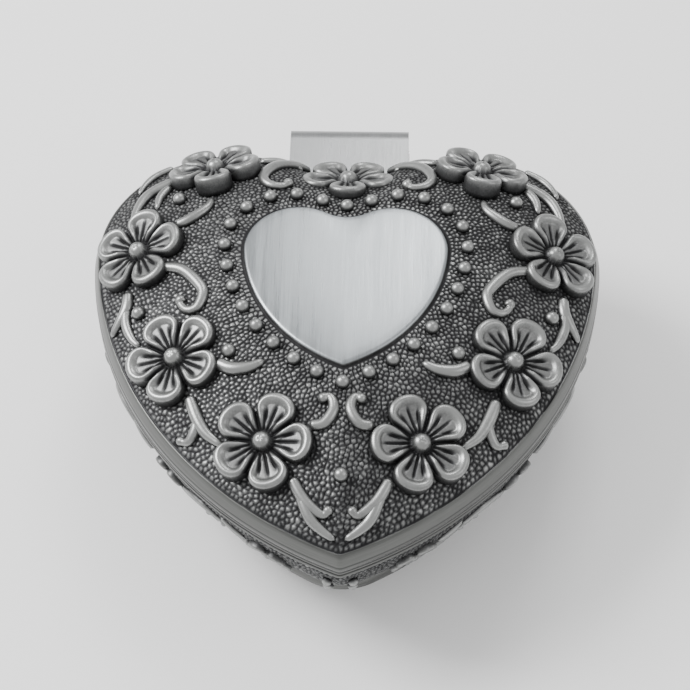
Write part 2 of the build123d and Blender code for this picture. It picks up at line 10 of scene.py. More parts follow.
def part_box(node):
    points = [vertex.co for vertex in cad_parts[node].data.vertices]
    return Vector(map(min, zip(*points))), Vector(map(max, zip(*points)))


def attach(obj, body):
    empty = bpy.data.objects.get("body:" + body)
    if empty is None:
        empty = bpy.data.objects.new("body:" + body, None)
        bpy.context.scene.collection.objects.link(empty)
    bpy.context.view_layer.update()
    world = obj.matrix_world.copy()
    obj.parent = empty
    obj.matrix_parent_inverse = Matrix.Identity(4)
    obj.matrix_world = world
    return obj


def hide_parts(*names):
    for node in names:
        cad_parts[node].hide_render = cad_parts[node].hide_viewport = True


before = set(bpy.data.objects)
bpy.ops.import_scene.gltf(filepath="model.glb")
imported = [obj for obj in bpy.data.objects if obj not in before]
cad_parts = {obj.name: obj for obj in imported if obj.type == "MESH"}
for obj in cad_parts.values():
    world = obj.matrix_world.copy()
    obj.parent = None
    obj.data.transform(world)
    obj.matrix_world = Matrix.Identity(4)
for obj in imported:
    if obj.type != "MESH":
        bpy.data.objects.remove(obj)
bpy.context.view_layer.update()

# ---------------------------------------------------------------- driving dimensions, in millimetres
# The heart's own axes have the centres of its two lobes at y = 0; the frame's origin is SHIFT_Y in front.
SHIFT_Y = 17.7
HALF_WIDTH = 52.0
LOBE_R = 28.3
CLEFT_R = 19.8
SIDE_R = 82.2
TIP_Y = -72.6
TIP_R = 1.8
CENTRE_Y = -10.7             # the dome and its relief shrink towards this point
PARTING_Z = 29.0
LID_LOW = 29.1
RIM_TOP = 34.4
RIM_INSET = 1.45
INNER_RIM_Z = 33.4           # foot of the dome inside the lid
DOME_H = 10.75
DOME_POWER = 3.36
PLAQUE_SCALE = 0.40
PLAQUE_SHIFT = -0.9          # the plaque sits a little in front of the dome centre
PLAQUE_H = 0.7
HINGE_Y = 32.0
HINGE_Z = 29.5
HINGE_HALF = 12.7
COVER_R = 5.2
COVER_FRONT_Y = 20.8         # where the hinge leaf starts on the lid
KNUCKLE_R = 3.6
KNUCKLE_HALF = 8.0
FLOOR_Z = 9.0
# z, inset and tip radius of the outer wall of the base, then of its hollow, from the top down
BASE_WALL = [(28.0, 0.3, 2.0), (26.5, 0.5, 2.6), (22.0, 1.8, 5.0), (17.0, 4.0, 9.0), (12.0, 6.9, 12.0)]
BASE_HOLLOW = [(29.0, 2.2, 2.5), (22.0, 3.8, 5.0), (17.0, 6.0, 8.0), (11.2, 9.4, 10.0)]
FEET = [(-33.0, 0.0), (33.0, 0.0), (0.0, -48.0)]

RAYS = 1300                  # points round the castings
PEBBLE = 0.92                # mean spacing of the pebbled ground
PEBBLE_H = 0.38
MOST_TRIES = 60000           # places tried for the middle of a pebble
PATINA_AND_SHADE_REACH = 0.7            # how far the dark patina and the painted contact shade reach out from a flower or scroll
ARBOR_HOLE = (-15.5, -4.0)   # where the winding arbor passes the floor
MOVEMENT_BED = (-25.4, 26.4, -28.4, 10.4)   # left, right, front and back of the opening in the floor velvet
DIVIDER_Y = (-30.6, -29.4)
RING_SLOTS = (-36.5, -42.0, -47.5)
# material slots of the two castings
GROUND, PLAIN_TOP, PLAIN_BAND, HOLLOW = range(4)
RNG = np.random.default_rng(7)


# ---------------------------------------------------------------- heart outline
def side_centre():
    """Centre of the right-hand side arc."""
    to_lobe = SIDE_R - LOBE_R
    to_tip = SIDE_R - TIP_R
    dx = LOBE_R - HALF_WIDTH
    dy = TIP_Y + TIP_R
    gap = math.hypot(dx, dy)
    along = (to_lobe ** 2 - to_tip ** 2 + gap ** 2) / (2 * gap)
    across = math.sqrt(to_lobe ** 2 - along ** 2)
    return (HALF_WIDTH - LOBE_R + (along * dx + across * dy) / gap, (along * dy - across * dx) / gap)


def arc(x, y, radius, start, end, count=160):
    turn = np.linspace(start, end, count)
    return np.column_stack([x + radius * np.cos(turn), y + radius * np.sin(turn)])


def outline(inset=0.0, tip_radius=TIP_R):
    """Right half of the outline, from the cleft to the tip, as dense points."""
    lobe_x = HALF_WIDTH - LOBE_R
    cleft_y = math.sqrt((LOBE_R + CLEFT_R) ** 2 - lobe_x ** 2)
    cx, cy = side_centre()
    side_r = SIDE_R - inset
    tip_y = cy - math.sqrt((side_r - tip_radius) ** 2 - cx ** 2)
    cleft_end = math.atan2(-cleft_y, lobe_x)
    lobe_start = math.atan2(cleft_y, -lobe_x)
    lobe_end = math.atan2(-cy, lobe_x - cx)
    side_end = math.atan2(tip_y - cy, -cx)
    return np.vstack([arc(0, cleft_y, CLEFT_R + inset, -math.pi / 2, cleft_end),
                      arc(lobe_x, 0, LOBE_R - inset, lobe_start, lobe_end)[1:],
                      arc(cx, cy, side_r, lobe_end, side_end)[1:],
                      arc(0, tip_y, tip_radius, side_end, -math.pi / 2)[1:]])


def polar(points):
    """Angle from straight back and distance from the dome centre, for flat points."""
    x, y = points[:, 0], points[:, 1] - CENTRE_Y
    return np.arctan2(x, y), np.hypot(x, y)


def run_length(points):
    """Length along a flat line of points, up to each of them."""
    return np.concatenate([[0], np.cumsum(np.hypot(*np.diff(points, axis=0).T))])


def reach(angle, inset=0.0, tip_radius=TIP_R):
    """Distance from the dome centre to the outline, at an angle from straight back."""
    turn, size = polar(outline(inset, tip_radius))
    folded = np.abs((np.asarray(angle) + math.pi) % (2 * math.pi) - math.pi)
    return np.interp(folded, turn, size)


def even_angles(count, inset=0.0):
    """Angles from straight back that split the outline into equal lengths."""
    half = outline(inset)
    length = run_length(half)
    right = np.interp(np.linspace(0, length[-1], count // 2 + 1), length, polar(half)[0])
    return np.concatenate([right, 2 * math.pi - right[-2:0:-1]])


def ring(angles, radius, z):
    """One closed row of points round the dome centre."""
    z = np.broadcast_to(z, angles.shape)
    return np.column_stack([radius * np.sin(angles), CENTRE_Y + radius * np.cos(angles), z])


def scale_at(x, y):
    """How far out a point lies, 0 at the dome centre and 1 at the foot of the dome."""
    angle = np.arctan2(x, np.asarray(y) - CENTRE_Y)
    return np.hypot(x, np.asarray(y) - CENTRE_Y) / reach(angle, RIM_INSET)


def dome_z(x, y):
    share = scale_at(x, y)
    inside = RIM_TOP + DOME_H * (1 - np.minimum(share, 1) ** DOME_POWER)
    return inside - np.maximum(share - 1, 0) * 60


def ground_z(x, y):
    """Top of whatever carries the relief: the dome, or the hinge leaf behind it."""
    on_leaf = (np.abs(x) < HINGE_HALF) & (np.asarray(y) > COVER_FRONT_Y)
    return np.where(on_leaf, np.maximum(dome_z(x, y), HINGE_Z + COVER_R), dome_z(x, y))


def dome_normal(x, y):
    step = 0.3
    dx = (dome_z(x + step, y) - dome_z(x - step, y)) / (2 * step)
    dy = (dome_z(x, y + step) - dome_z(x, y - step)) / (2 * step)
    normal = np.array([-float(dx), -float(dy), 1.0])
    return normal / np.linalg.norm(normal)


def section_at(sections, z):
    """Inset and tip radius at height z, from a list of sections given from the top down."""
    heights, insets, tips = zip(*sections[::-1])
    return float(np.interp(z, heights, insets)), float(np.interp(z, heights, tips))


def on_dome(x, y):
    return (x, y, float(dome_z(x, y)))


# ---------------------------------------------------------------- mesh helpers
def to_frame(points):
    return (np.asarray(points, float) + (0, SHIFT_Y, 0)) * 0.001


def new_object(name, points, faces, cavity=None, smooth=True):
    mesh = bpy.data.meshes.new(name)
    mesh.from_pydata(to_frame(points).tolist(), [], [tuple(f) for f in faces])
    if cavity is not None:
        layer = mesh.attributes.new("cavity", "FLOAT", "POINT")
        layer.data.foreach_set("value", np.clip(cavity, 0, 1).astype(np.float32))
    mesh.update()
    mesh.polygons.foreach_set("use_smooth", [smooth] * len(mesh.polygons))
    return link(name, mesh)


def link(name, data):
    """New object of the scene from a mesh, lamp or camera."""
    obj = bpy.data.objects.new(name, data)
    bpy.context.scene.collection.objects.link(obj)
    return obj


def vertex_vectors(obj, field="co"):
    """Places or normals of an object's vertices, one row each."""
    flat = np.empty(len(obj.data.vertices) * 3)
    obj.data.vertices.foreach_get(field, flat)
    return flat.reshape(-1, 3)


def strip_faces(rows, columns, offset=0):
    """Quads between neighbouring closed rows, wound so that later rows lie below or outside."""
    row = np.repeat(np.arange(rows - 1), columns)
    col = np.tile(np.arange(columns), rows - 1)
    right = (col + 1) % columns
    quads = np.column_stack([row * columns + col, row * columns + right,
                             (row + 1) * columns + right, (row + 1) * columns + col])
    return (quads + offset).tolist()


def fan_faces(row_start, columns, pole, flip=False):
    col = np.arange(columns)
    right = (col + 1) % columns
    tris = np.column_stack([row_start + col, row_start + right, np.full(columns, pole)])
    return (tris[:, ::-1] if flip else tris).tolist()


def skin_faces(rows, columns, flip=False):
    """Faces of a stack of closed rows with a pole at each end; the two poles follow the rows."""
    faces = strip_faces(rows, columns)
    faces += fan_faces(0, columns, rows * columns, flip=True)
    faces += fan_faces((rows - 1) * columns, columns, rows * columns + 1)
    return [face[::-1] for face in faces] if flip else faces


class Pile:
    """Collects separate closed shapes into one mesh."""

    def __init__(self):
        self.points = []
        self.faces = []
        self.cavity = []
        self.count = 0

    def add(self, points, faces, cavity):
        self.points.append(points)
        self.faces.extend((np.array(f) + self.count).tolist() for f in faces)
        self.cavity.append(np.broadcast_to(cavity, len(points)))
        self.count += len(points)

    def build(self, name):
        return new_object(name, np.vstack(self.points), self.faces, np.concatenate(self.cavity))


class Skin:
    """Closed rows of a casting, each with its cavity value and material slot."""

    def __init__(self):
        self.rows = []
        self.dark = []
        self.slots = []

    def add(self, row, cavity, slot):
        self.rows.append(row)
        self.dark.append(np.full(RAYS, cavity))
        self.slots.append(slot)

    def raise_pebbles(self, first, marks, centre_z, soft_ends=False):
        """Makes pebbled ground of the rows from first on, swelling away from a centre at height centre_z."""
        count = len(self.rows) - first
        field = np.vstack(self.rows[first:])
        level, tone = pebbles(field, PEBBLE)
        near = nearness(field, marks, PATINA_AND_SHADE_REACH)
        outward = field - np.array([0, CENTRE_Y, centre_z])
        outward /= np.linalg.norm(outward, axis=1)[:, None]
        fade = np.ones((count, RAYS))
        if soft_ends:
            fade[:2] *= 0.3
            fade[-2:] *= 0.3
        crown = (np.sqrt(1 - (1 - level) ** 2) - 0.8) * PEBBLE_H * fade.ravel()
        # shade: dark patina in the furrows between pebbles, a random tone per pebble, and painted contact
        # shade near the flowers and scrolls
        shade = np.clip(1.0 - 0.95 * level + 0.28 * tone + near * 0.5, 0, 1)
        self.rows[first:] = np.split(field + outward * crown[:, None], count)
        self.dark[first:] = np.split(shade, count)


def face_outwards(obj):
    work = bmesh.new()
    work.from_mesh(obj.data)
    bmesh.ops.recalc_face_normals(work, faces=work.faces)
    work.to_mesh(obj.data)
    work.free()
    return obj


def scattered(points, spacing):
    """Indices of randomly picked points that lie at least spacing apart."""
    taken = {}
    kept = []
    cells = np.floor(points / spacing).astype(int)
    near = [(i, j, k) for i in (-1, 0, 1) for j in (-1, 0, 1) for k in (-1, 0, 1)]
    for index in RNG.permutation(len(points))[:MOST_TRIES]:
        a, b, c = cells[index]
        point = points[index]
        gaps = (point - other for i, j, k in near for other in taken.get((a + i, b + j, c + k), ()))
        if all(gap @ gap >= spacing * spacing for gap in gaps):
            taken.setdefault((a, b, c), []).append(point)
            kept.append(index)
    return kept


def pebbles(points, spacing):
    """Pebbled ground: 0 in the furrows and 1 on the crowns, and a tone of its own for each pebble."""
    seeds = points[scattered(points, spacing * 0.8)]
    tree = kdtree.KDTree(len(seeds))
    for n, seed in enumerate(seeds):
        tree.insert(seed, n)
    tree.balance()
    tones = RNG.random(len(seeds))
    level = np.empty(len(points))
    tone = np.empty(len(points))
    for n, point in enumerate(points):
        hits = tree.find_n(point, 2)
        level[n] = hits[1][2] - hits[0][2]
        tone[n] = tones[hits[0][1]]
    return np.clip(level / (spacing * 0.72), 0, 1), tone


def nearness(points, marks, fade):
    """1 at the marks, falling off over the distance fade."""
    tree = kdtree.KDTree(len(marks))
    for n, mark in enumerate(marks):
        tree.insert(mark, n)
    tree.balance()
    gaps = np.array([tree.find(point)[2] for point in points])
    return np.exp(-gaps / fade)


# ---------------------------------------------------------------- relief: flowers, vines, beads
# how a flower's side wall bulges on its way down, 0.5 being its widest
WALL_SWELL = (0.3, 0.5, 0.6, 0.6, 0.6)


def flower_outline(turn):
    """Outline of a five-petalled flower as a share of its radius."""
    petal = (turn + math.pi / 5) % (2 * math.pi / 5) - math.pi / 5
    share = np.abs(petal) / (math.pi / 5)
    return petal, 0.46 + 0.54 * np.sqrt(np.clip(1 - share ** 2.3, 0, 1))


def plane_axes(normal):
    """Two directions square to a normal and to each other."""
    across = np.cross((0, 1, 0), normal)
    across /= np.linalg.norm(across)
    return across, np.cross(normal, across)


def add_flower(pile, centre, normal, radius, first_petal, floor_z, lift, rings=36, turns=220):
    """Cast flower with dished petals, thick rims, three furrows a petal and a round heart.

    floor_z gives the depth along the normal at which its side walls end, for points in its plane."""
    across, up = plane_axes(normal)
    turn = np.linspace(0, 2 * math.pi, turns, endpoint=False)
    petal, share = flower_outline(turn - first_petal)
    edge_r = radius * share
    k = radius / 9.5
    rho = np.linspace(0, 1, rings + 1)[1:] ** 0.85
    r = rho[:, None] * edge_r[None, :]
    side_gap = r * np.sin(math.pi / 5 - np.abs(petal))[None, :]
    outer_gap = (edge_r[None, :] - r) * 0.9
    blend = 0.5 * k
    gap = -blend * np.log(np.exp(-side_gap / blend) + np.exp(-outer_gap / blend))
    gap = np.clip(gap + blend * 0.35, 0, None)
    rim = np.sin(math.pi * np.clip(gap / (1.9 * k), 0, 1)) ** 0.85
    rim *= np.clip((r / radius - 0.2) / 0.25, 0, 1)
    dish = 0.15 + 0.75 * (r / radius) ** 1.3
    furrow = np.zeros_like(r)
    for offset in (-0.27, 0.0, 0.27):
        distance = r * np.abs(np.sin(petal - offset))[None, :]
        length = np.clip((r / radius - 0.2) / 0.06, 0, 1)
        length = length * np.clip(((0.8 - 0.3 * abs(offset)) - r / radius) / 0.12, 0, 1)
        furrow = np.maximum(furrow, np.exp(-(distance / (0.26 * k)) ** 2) * length)
    parting = np.exp(-(side_gap / (0.45 * k)) ** 2) * np.clip((r / radius - 0.18) / 0.1, 0, 1)
    heart_r = 1.85 * k
    heart = np.sqrt(np.clip(heart_r ** 2 - r ** 2, 0, None))
    moat = np.exp(-((r - heart_r - 0.3 * k) / (0.35 * k)) ** 2)
    height = lift + k * (dish + 0.7 * rim - 0.4 * furrow - 0.55 * parting - 0.25 * moat) + heart
    dark = np.clip(0.5 * (1 - rim) * np.clip(r / radius * 3 - 0.3, 0, 1) * np.clip(1.25 - r / radius, 0, 1)
                   + 0.9 * furrow + parting + 0.9 * moat, 0, 1)
    dark = np.where(r < heart_r * 0.9, 0.02, dark)
    edge_top = height[-1] - 0.25 * k
    centre = np.asarray(centre, float)
    flat_x = edge_r * np.cos(turn)
    flat_y = edge_r * np.sin(turn)
    foot = floor_z(centre + flat_x[:, None] * across + flat_y[:, None] * up, normal)
    wall_rows = []
    wall_dark = []
    for share_down in (0.0, 0.12, 0.35, 0.65, 1.0):
        wall_rows.append(edge_top + (foot - edge_top) * share_down)
        wall_dark.append(np.full(turns, 0.25 + 0.75 * share_down))
    heights = np.vstack([height, wall_rows])
    swell = np.vstack([r, [edge_r + 0.12 * k * (1 - abs(2 * share_out - 1)) for share_out in WALL_SWELL]])
    cavity = np.vstack([dark, wall_dark])
    spokes = np.cos(turn)[None, :, None] * across + np.sin(turn)[None, :, None] * up
    points = centre + swell[:, :, None] * spokes + heights[:, :, None] * normal
    top = centre + normal * (lift + 0.15 * k - 0.25 * k + heart_r)
    flat = np.vstack([points.reshape(-1, 3), top, centre - normal * 0.35])
    faces = skin_faces(len(heights), turns, flip=True)
    pile.add(flat, faces, np.concatenate([cavity.ravel(), [0.02, 1.0]]))
    return centre + (flat_x[:, None] * across + flat_y[:, None] * up)


def curve_through(points, step):
    """Smooth curve through points (Catmull-Rom), sampled about every step millimetres."""
    points = np.asarray(points, float)
    padded = np.vstack([2 * points[0] - points[1], points, 2 * points[-1] - points[-2]])
    out = []
    for n in range(1, len(padded) - 2):
        a, b, c, d = padded[n - 1:n + 3]
        count = max(3, int(np.linalg.norm(c - b) / step))
        t = np.linspace(0, 1, count, endpoint=False)[:, None]
        out.append(0.5 * (2 * b + (c - a) * t + (2 * a - 5 * b + 4 * c - d) * t ** 2
                          + (3 * b - a - 3 * c + d) * t ** 3))
    out.append(points[-1:])
    return np.vstack(out)


def add_vine(pile, path, normals, width, bulb, sides=12):
    """Tapering half-round scroll laid along a path, with a swollen or pointed end."""
    count = len(path)
    length = np.concatenate([[0], np.cumsum(np.linalg.norm(np.diff(path, axis=0), axis=1))])
    share = length / length[-1]
    radius = width * 0.62 * (0.85 + 0.25 * np.sin(math.pi * np.clip(share * 1.15, 0, 1)) - 0.22 * share)
    from_end = length[-1] - length
    if bulb:
        swell = np.sqrt(np.clip(1 - ((from_end - bulb) / bulb) ** 2, 0, 1)) * bulb
        narrowing = radius * np.clip(from_end / bulb, 0, 1)
        radius = np.where(from_end < 2 * bulb, np.maximum(swell, narrowing), radius)
    else:
        radius = radius * np.sqrt(1 - (1 - np.clip(from_end / (width * 0.7), 0, 1)) ** 2)
    radius *= np.clip(length / (width * 0.5) + 0.35, 0, 1)
    radius = np.maximum(radius, 0.03)
    along = np.gradient(path, axis=0)
    along /= np.linalg.norm(along, axis=1)[:, None]
    across = np.cross(along, normals)
    across /= np.linalg.norm(across, axis=1)[:, None]
    turn = np.linspace(0, 2 * math.pi, sides, endpoint=False)
    centre = path + normals * (radius * 0.2)[:, None]
    spokes = np.cos(turn)[None, :, None] * across[:, None, :]
    spokes = spokes + 0.95 * np.sin(turn)[None, :, None] * normals[:, None, :]
    points = centre[:, None, :] + radius[:, None, None] * spokes
    cavity = np.tile(np.clip(0.5 - 1.3 * np.sin(turn), 0, 1), count)
    poles = (centre[0] - along[0] * radius[0] * 0.5, centre[-1] + along[-1] * radius[-1] * 0.5)
    flat = np.vstack([points.reshape(-1, 3), *poles])
    pile.add(flat, skin_faces(count, sides), np.concatenate([cavity, [0.4, 0.1]]))


def add_bead(pile, centre, normal, radius, sink=0.25):
    """Round bead set a little into the ground."""
    across, up = plane_axes(normal)
    turns = 20
    turn = np.linspace(0, 2 * math.pi, turns, endpoint=False)
    tilts = np.radians([12, 26, 40, 54, 68, 82, 98, 116])
    start = np.asarray(centre, float) + normal * radius * sink
    spokes = np.cos(turn)[:, None] * across + np.sin(turn)[:, None] * up
    rows = [start + radius * (math.sin(t) * spokes + math.cos(t) * normal) for t in tilts]
    flat = np.vstack(rows + [start + radius * normal, start - radius * 0.5 * normal])
    cavity = np.repeat(np.clip((np.degrees(tilts) - 55) / 45, 0, 1), turns)
    pile.add(flat, skin_faces(len(tilts), turns, flip=True), np.concatenate([cavity, [0.0, 1.0]]))


# left-hand flowers of the lid: centre, first petal's direction in degrees, share of the dome's slope
LID_FLOWERS = [((-41.7, -4.4), 8, 0.95), ((-32.7, -31.1), -32, 0.84), ((-14.8, -50.6), -8, 0.8),
               ((-27.6, 17.7), -84, 1.2)]
BACK_FLOWER = ((0.0, 15.8), -90, 0.8)
FLOWER_R = 9.7
# left-hand scrolls of the lid: points, width, radius of the round end (0 for a pointed end)
LID_SCROLLS = [
    ([(-36.5, -9.6), (-32.3, -11.3), (-28.8, -15.3), (-27.8, -17.8), (-28.8, -20.7), (-30.8, -21.0),
      (-32.3, -19.1), (-31.6, -17.6)], 2.0, 1.15),
    ([(-34.6, 0.7), (-31.7, 1.8), (-28.4, 4.6), (-27.6, 7.5)], 1.9, 0),
    ([(-43.2, -13.6), (-43.4, -17.4), (-45.4, -20.9), (-46.2, -22.2)], 2.0, 0),
    ([(-43.4, -16.4), (-43.2, -20.6), (-41.8, -24.3), (-40.0, -26.6)], 1.8, 0),
    ([(-24.4, -33.5), (-21.3, -35.3), (-17.9, -35.4), (-15.0, -34.1)], 2.2, 0),
    ([(-35.9, 15.6), (-41.0, 12.5), (-43.2, 8.6), (-44.0, 4.4)], 2.0, 0),
    ([(-36.7, 13.6), (-38.5, 10.5), (-39.1, 6.9)], 1.7, 0),
    ([(-37.0, 22.6), (-40.6, 20.2), (-42.6, 17.4), (-43.6, 14.4)], 1.5, 0),
    ([(-8.6, 22.5), (-14.7, 18.6), (-17.3, 13.9), (-16.1, 10.9), (-13.2, 10.2), (-11.6, 12.0)], 2.0, 1.15),
    ([(-18.6, 20.6), (-14.2, 21.6), (-9.6, 20.2)], 1.7, 0),
    ([(-29.4, -39.4), (-27.6, -44.0), (-25.6, -47.3), (-22.4, -50.1)], 2.1, 0),
    ([(-27.6, -43.6), (-27.9, -46.1), (-29.2, -47.9), (-31.5, -46.9)], 1.7, 0.95),
    ([(-6.1, -48.2), (-3.3, -47.9), (-1.6, -45.2), (-2.3, -42.6), (-4.6, -43.2)], 1.9, 1.1),
    ([(-9.2, -57.6), (-7.1, -61.2), (-5.2, -63.2), (-3.0, -64.6), (-1.7, -63.2)], 1.9, 1.0),
    ([(-7.6, -60.6), (-5.6, -64.8), (-3.5, -67.0), (-0.9, -68.9)], 1.9, 0),
]
LID_BEADS = [(-34.3, 8.2), (-40.6, -19.3), (-22.0, -31.5)]
MIDDLE_BEAD = (0.0, -57.9)
BEAD_R = 1.45
RING_BEADS = 28
RING_BEAD_R = 1.42
RING_SCALE = 0.478


def sunk(plane, normal, rise_above, steps):
    """Depths along the normal at which points of a plane meet a surface, from their rise above it."""
    depth = np.zeros(len(plane))
    for _ in range(steps):
        depth -= rise_above(plane + depth[:, None] * normal) * 0.8
    return depth


def lid_floor(plane, normal):
    """Depth below a flower's plane, along its normal, at which its walls sink into the dome."""
    def above_dome(spot):
        return spot[:, 2] - ground_z(spot[:, 0], spot[:, 1])

    return np.clip(sunk(plane, normal, above_dome, 12), -3.6, 0.4) - 0.3


def lid_relief():
    flowers, scrolls, beads = Pile(), Pile(), Pile()
    marks = []

    def flower_at(x, y, angle, lean, lift):
        normal = dome_normal(x, y) * lean + np.array([0, 0, 1 - lean])
        normal /= np.linalg.norm(normal)
        turn = math.radians(angle)
        marks.append(add_flower(flowers, on_dome(x, y), normal, FLOWER_R, turn, lid_floor, lift))

    def bead_at(x, y, radius=BEAD_R):
        add_bead(beads, on_dome(x, y), dome_normal(x, y), radius)

    for side in (1, -1):
        for (x, y), petal, lean in LID_FLOWERS:
            flower_at(x * side, y, petal if side == 1 else 180 - petal, lean, 0.6)
        for points, width, bulb in LID_SCROLLS:
            flat = curve_through([(x * side, y) for x, y in points], 0.3)
            path = np.column_stack([flat, dome_z(flat[:, 0], flat[:, 1])])
            normals = np.array([dome_normal(x, y) for x, y in flat])
            add_vine(scrolls, path, normals, width, bulb)
            marks.append(path)
        for x, y in LID_BEADS:
            bead_at(x * side, y)
    (x, y), petal, lean = BACK_FLOWER
    flower_at(x, y, petal, lean, 0.4)
    bead_at(*MIDDLE_BEAD)
    for angle in even_angles(RING_BEADS):
        size = float(reach(angle, RIM_INSET)) * RING_SCALE
        bead_at(size * math.sin(angle), CENTRE_Y + size * math.cos(angle), RING_BEAD_R)
    return (flowers.build("lid_flowers"), scrolls.build("lid_scrolls"), beads.build("lid_beads"),
            np.vstack(marks))


def lid_casting(marks):
    """Domed lid: plaque, pebbled field, lined rim band and hollow underside, as one closed skin."""
    angles = even_angles(RAYS)
    edge = reach(angles, RIM_INSET)
    skin = Skin()

    def dome_row(share, raise_by, cavity, slot):
        row = ring(angles, edge * share, 0)
        row[:, 1] += PLAQUE_SHIFT * min(1, max(0, (0.62 - share) / (0.62 - PLAQUE_SCALE)))
        row[:, 2] = dome_z(row[:, 0], row[:, 1]) + raise_by
        skin.add(row, cavity, slot)

    def band_row(inset, z, cavity, slot):
        skin.add(ring(angles, reach(angles, inset), z), cavity, slot)

    for share in np.linspace(0.02, PLAQUE_SCALE - 0.015, 12):
        dome_row(share, PLAQUE_H, 0.0, PLAIN_TOP)
    for share, raise_by, cavity in ((-0.009, -0.03, 0.0), (-0.004, -0.1, 0.05), (0.0, -0.25, 0.3),
                                    (0.003, -0.55, 0.8), (0.007, -0.8, 1.0), (0.012, -0.75, 1.0)):
        dome_row(PLAQUE_SCALE + share, PLAQUE_H + raise_by, cavity, PLAIN_TOP if share < 0.002 else GROUND)
    first = len(skin.rows)
    for share in np.linspace(PLAQUE_SCALE + 0.018, 0.992, 122):
        dome_row(share, 0.0, 0.0, GROUND)
    skin.raise_pebbles(first, marks, -40.0, soft_ends=True)
    dome_row(0.998, -0.25, 1.0, GROUND)
    for inset, z, cavity in ((1.42, 34.2, 0.9), (1.2, 34.32, 0.1), (1.0, 34.15, 0.0), (0.62, 32.95, 0.0),
                             (0.34, 32.2, 0.0), (0.14, 31.55, 0.0), (0.15, 31.4, 0.6), (0.05, 31.25, 0.3),
                             (0.0, 31.1, 0.0), (0.0, 30.2, 0.0), (0.13, 30.08, 0.9), (0.13, 29.9, 0.9),
                             (0.0, 29.78, 0.0), (0.0, 29.4, 0.0), (0.08, 29.25, 0.1), (0.3, LID_LOW, 0.5)):
        band_row(inset, z, cavity, PLAIN_BAND)
    for inset, z in ((1.8, LID_LOW), (2.0, LID_LOW + 0.15), (2.0, 31.1), (3.4, 33.3)):
        band_row(inset, z, 0.5, HOLLOW)
    inner_rise = DOME_H - 0.9
    for share in (1.0, 0.96, 0.9, 0.82, 0.72, 0.6, 0.4, 0.15):
        z = INNER_RIM_Z + inner_rise * (1 - share ** DOME_POWER)
        skin.add(ring(angles, reach(angles, 3.45) * share, z), 0.4, HOLLOW)
    middle_y = CENTRE_Y + PLAQUE_SHIFT
    top = (0, middle_y, float(dome_z(0, middle_y)) + PLAQUE_H)
    points = np.vstack(skin.rows + [top, (0, CENTRE_Y, INNER_RIM_Z + inner_rise)])
    faces = skin_faces(len(skin.rows), RAYS)
    obj = new_object("lid_casting", points, faces, np.concatenate(skin.dark + [[0, 0.4]]))
    index = np.repeat(skin.slots[1:] + [PLAIN_TOP, HOLLOW], RAYS)
    return obj, index


# ---------------------------------------------------------------- base casting
def wall_point(length, z, out=0.0):
    """Point on the outer wall of the base: length round the outline from the cleft, height z."""
    angle = WALL_ANGLE(length)
    inset, tip = section_at(BASE_WALL, z)
    size = reach(angle, inset - out, tip)
    return np.column_stack([size * np.sin(angle), CENTRE_Y + size * np.cos(angle), z + np.zeros_like(size)])


def make_wall_angle():
    """Angle from straight back for a length round the outline, negative to the left."""
    half = outline(3.0, 6.0)
    turn = polar(half)[0]
    length = run_length(half)

    def angle(wanted):
        wanted = np.atleast_1d(np.asarray(wanted, float))
        return np.sign(wanted) * np.interp(np.abs(wanted), length, turn)

    return angle, length[-1]


WALL_ANGLE, HALF_LENGTH = make_wall_angle()


def wall_normal(length, z):
    here = wall_point(length, z)[0]
    along = wall_point(length + 0.3, z)[0] - here
    down = wall_point(length, z - 0.3)[0] - here
    normal = np.cross(along, down)
    return normal / np.linalg.norm(normal)


def wall_floor(plane, normal):
    """Depth below a wall flower's plane, along its normal, at which it sinks into the wall."""
    def above_wall(spot):
        angles, size = polar(spot)
        wall = [float(reach(angle, *section_at(BASE_WALL, z))) for angle, z in zip(angles, spot[:, 2])]
        return size - np.array(wall)

    return np.minimum(sunk(plane, normal, above_wall, 6), 0.3) - 0.3


WALL_MIDDLE_Z = 20.0
WALL_FLOWER_R = 5.2
WALL_BEAD_R = 1.0
# lengths round the outline at which the wall flowers sit, as shares of its half length
WALL_FLOWERS = (0.13, 0.33, 0.53, 0.73, 0.9)
# one scroll between two wall flowers: share of the gap, height above the middle, then width and round end
WALL_SCROLLS = [
    ([(0.16, 1.0), (0.3, 4.2), (0.45, 5.0), (0.56, 3.2), (0.5, 1.4), (0.42, 2.2)], 1.35, 0.85),
    ([(0.84, -1.0), (0.7, -4.2), (0.55, -5.0), (0.44, -3.2), (0.5, -1.4), (0.58, -2.2)], 1.35, 0.85),
    ([(0.2, -2.4), (0.3, -4.4), (0.4, -5.4)], 1.2, 0),
    ([(0.8, 2.4), (0.7, 4.4), (0.6, 5.4)], 1.2, 0),
]


def base_relief():
    flowers, scrolls = Pile(), Pile()
    marks = []
    stops = [share * HALF_LENGTH for share in WALL_FLOWERS]
    for side in (1, -1):
        for n, length in enumerate(stops):
            centre = wall_point(length * side, WALL_MIDDLE_Z)[0]
            normal = wall_normal(length * side, WALL_MIDDLE_Z)
            marks.append(add_flower(flowers, centre, normal, WALL_FLOWER_R, math.radians(90 + 24 * n * side),
                                    wall_floor, 0.1, rings=22, turns=120))
        for start, end in zip(stops, stops[1:]):
            for points, width, bulb in WALL_SCROLLS:
                knots = [(start + (end - start) * share, WALL_MIDDLE_Z + up) for share, up in points]
                flat = curve_through(knots, 0.35)
                path = np.array([wall_point(length * side, z)[0] for length, z in flat])
                normals = np.array([wall_normal(length * side, z) for length, z in flat])
                add_vine(scrolls, path, normals, width, bulb, sides=10)
                marks.append(path)
    for share in (0.015, 0.985):
        for height in (-4.0, 0.0, 4.0):
            for side in (1, -1):
                place = (share * HALF_LENGTH * side, WALL_MIDDLE_Z + height)
                add_bead(scrolls, wall_point(*place)[0], wall_normal(*place), WALL_BEAD_R)
    return flowers.build("base_flowers"), scrolls.build("base_scrolls"), np.vstack(marks)


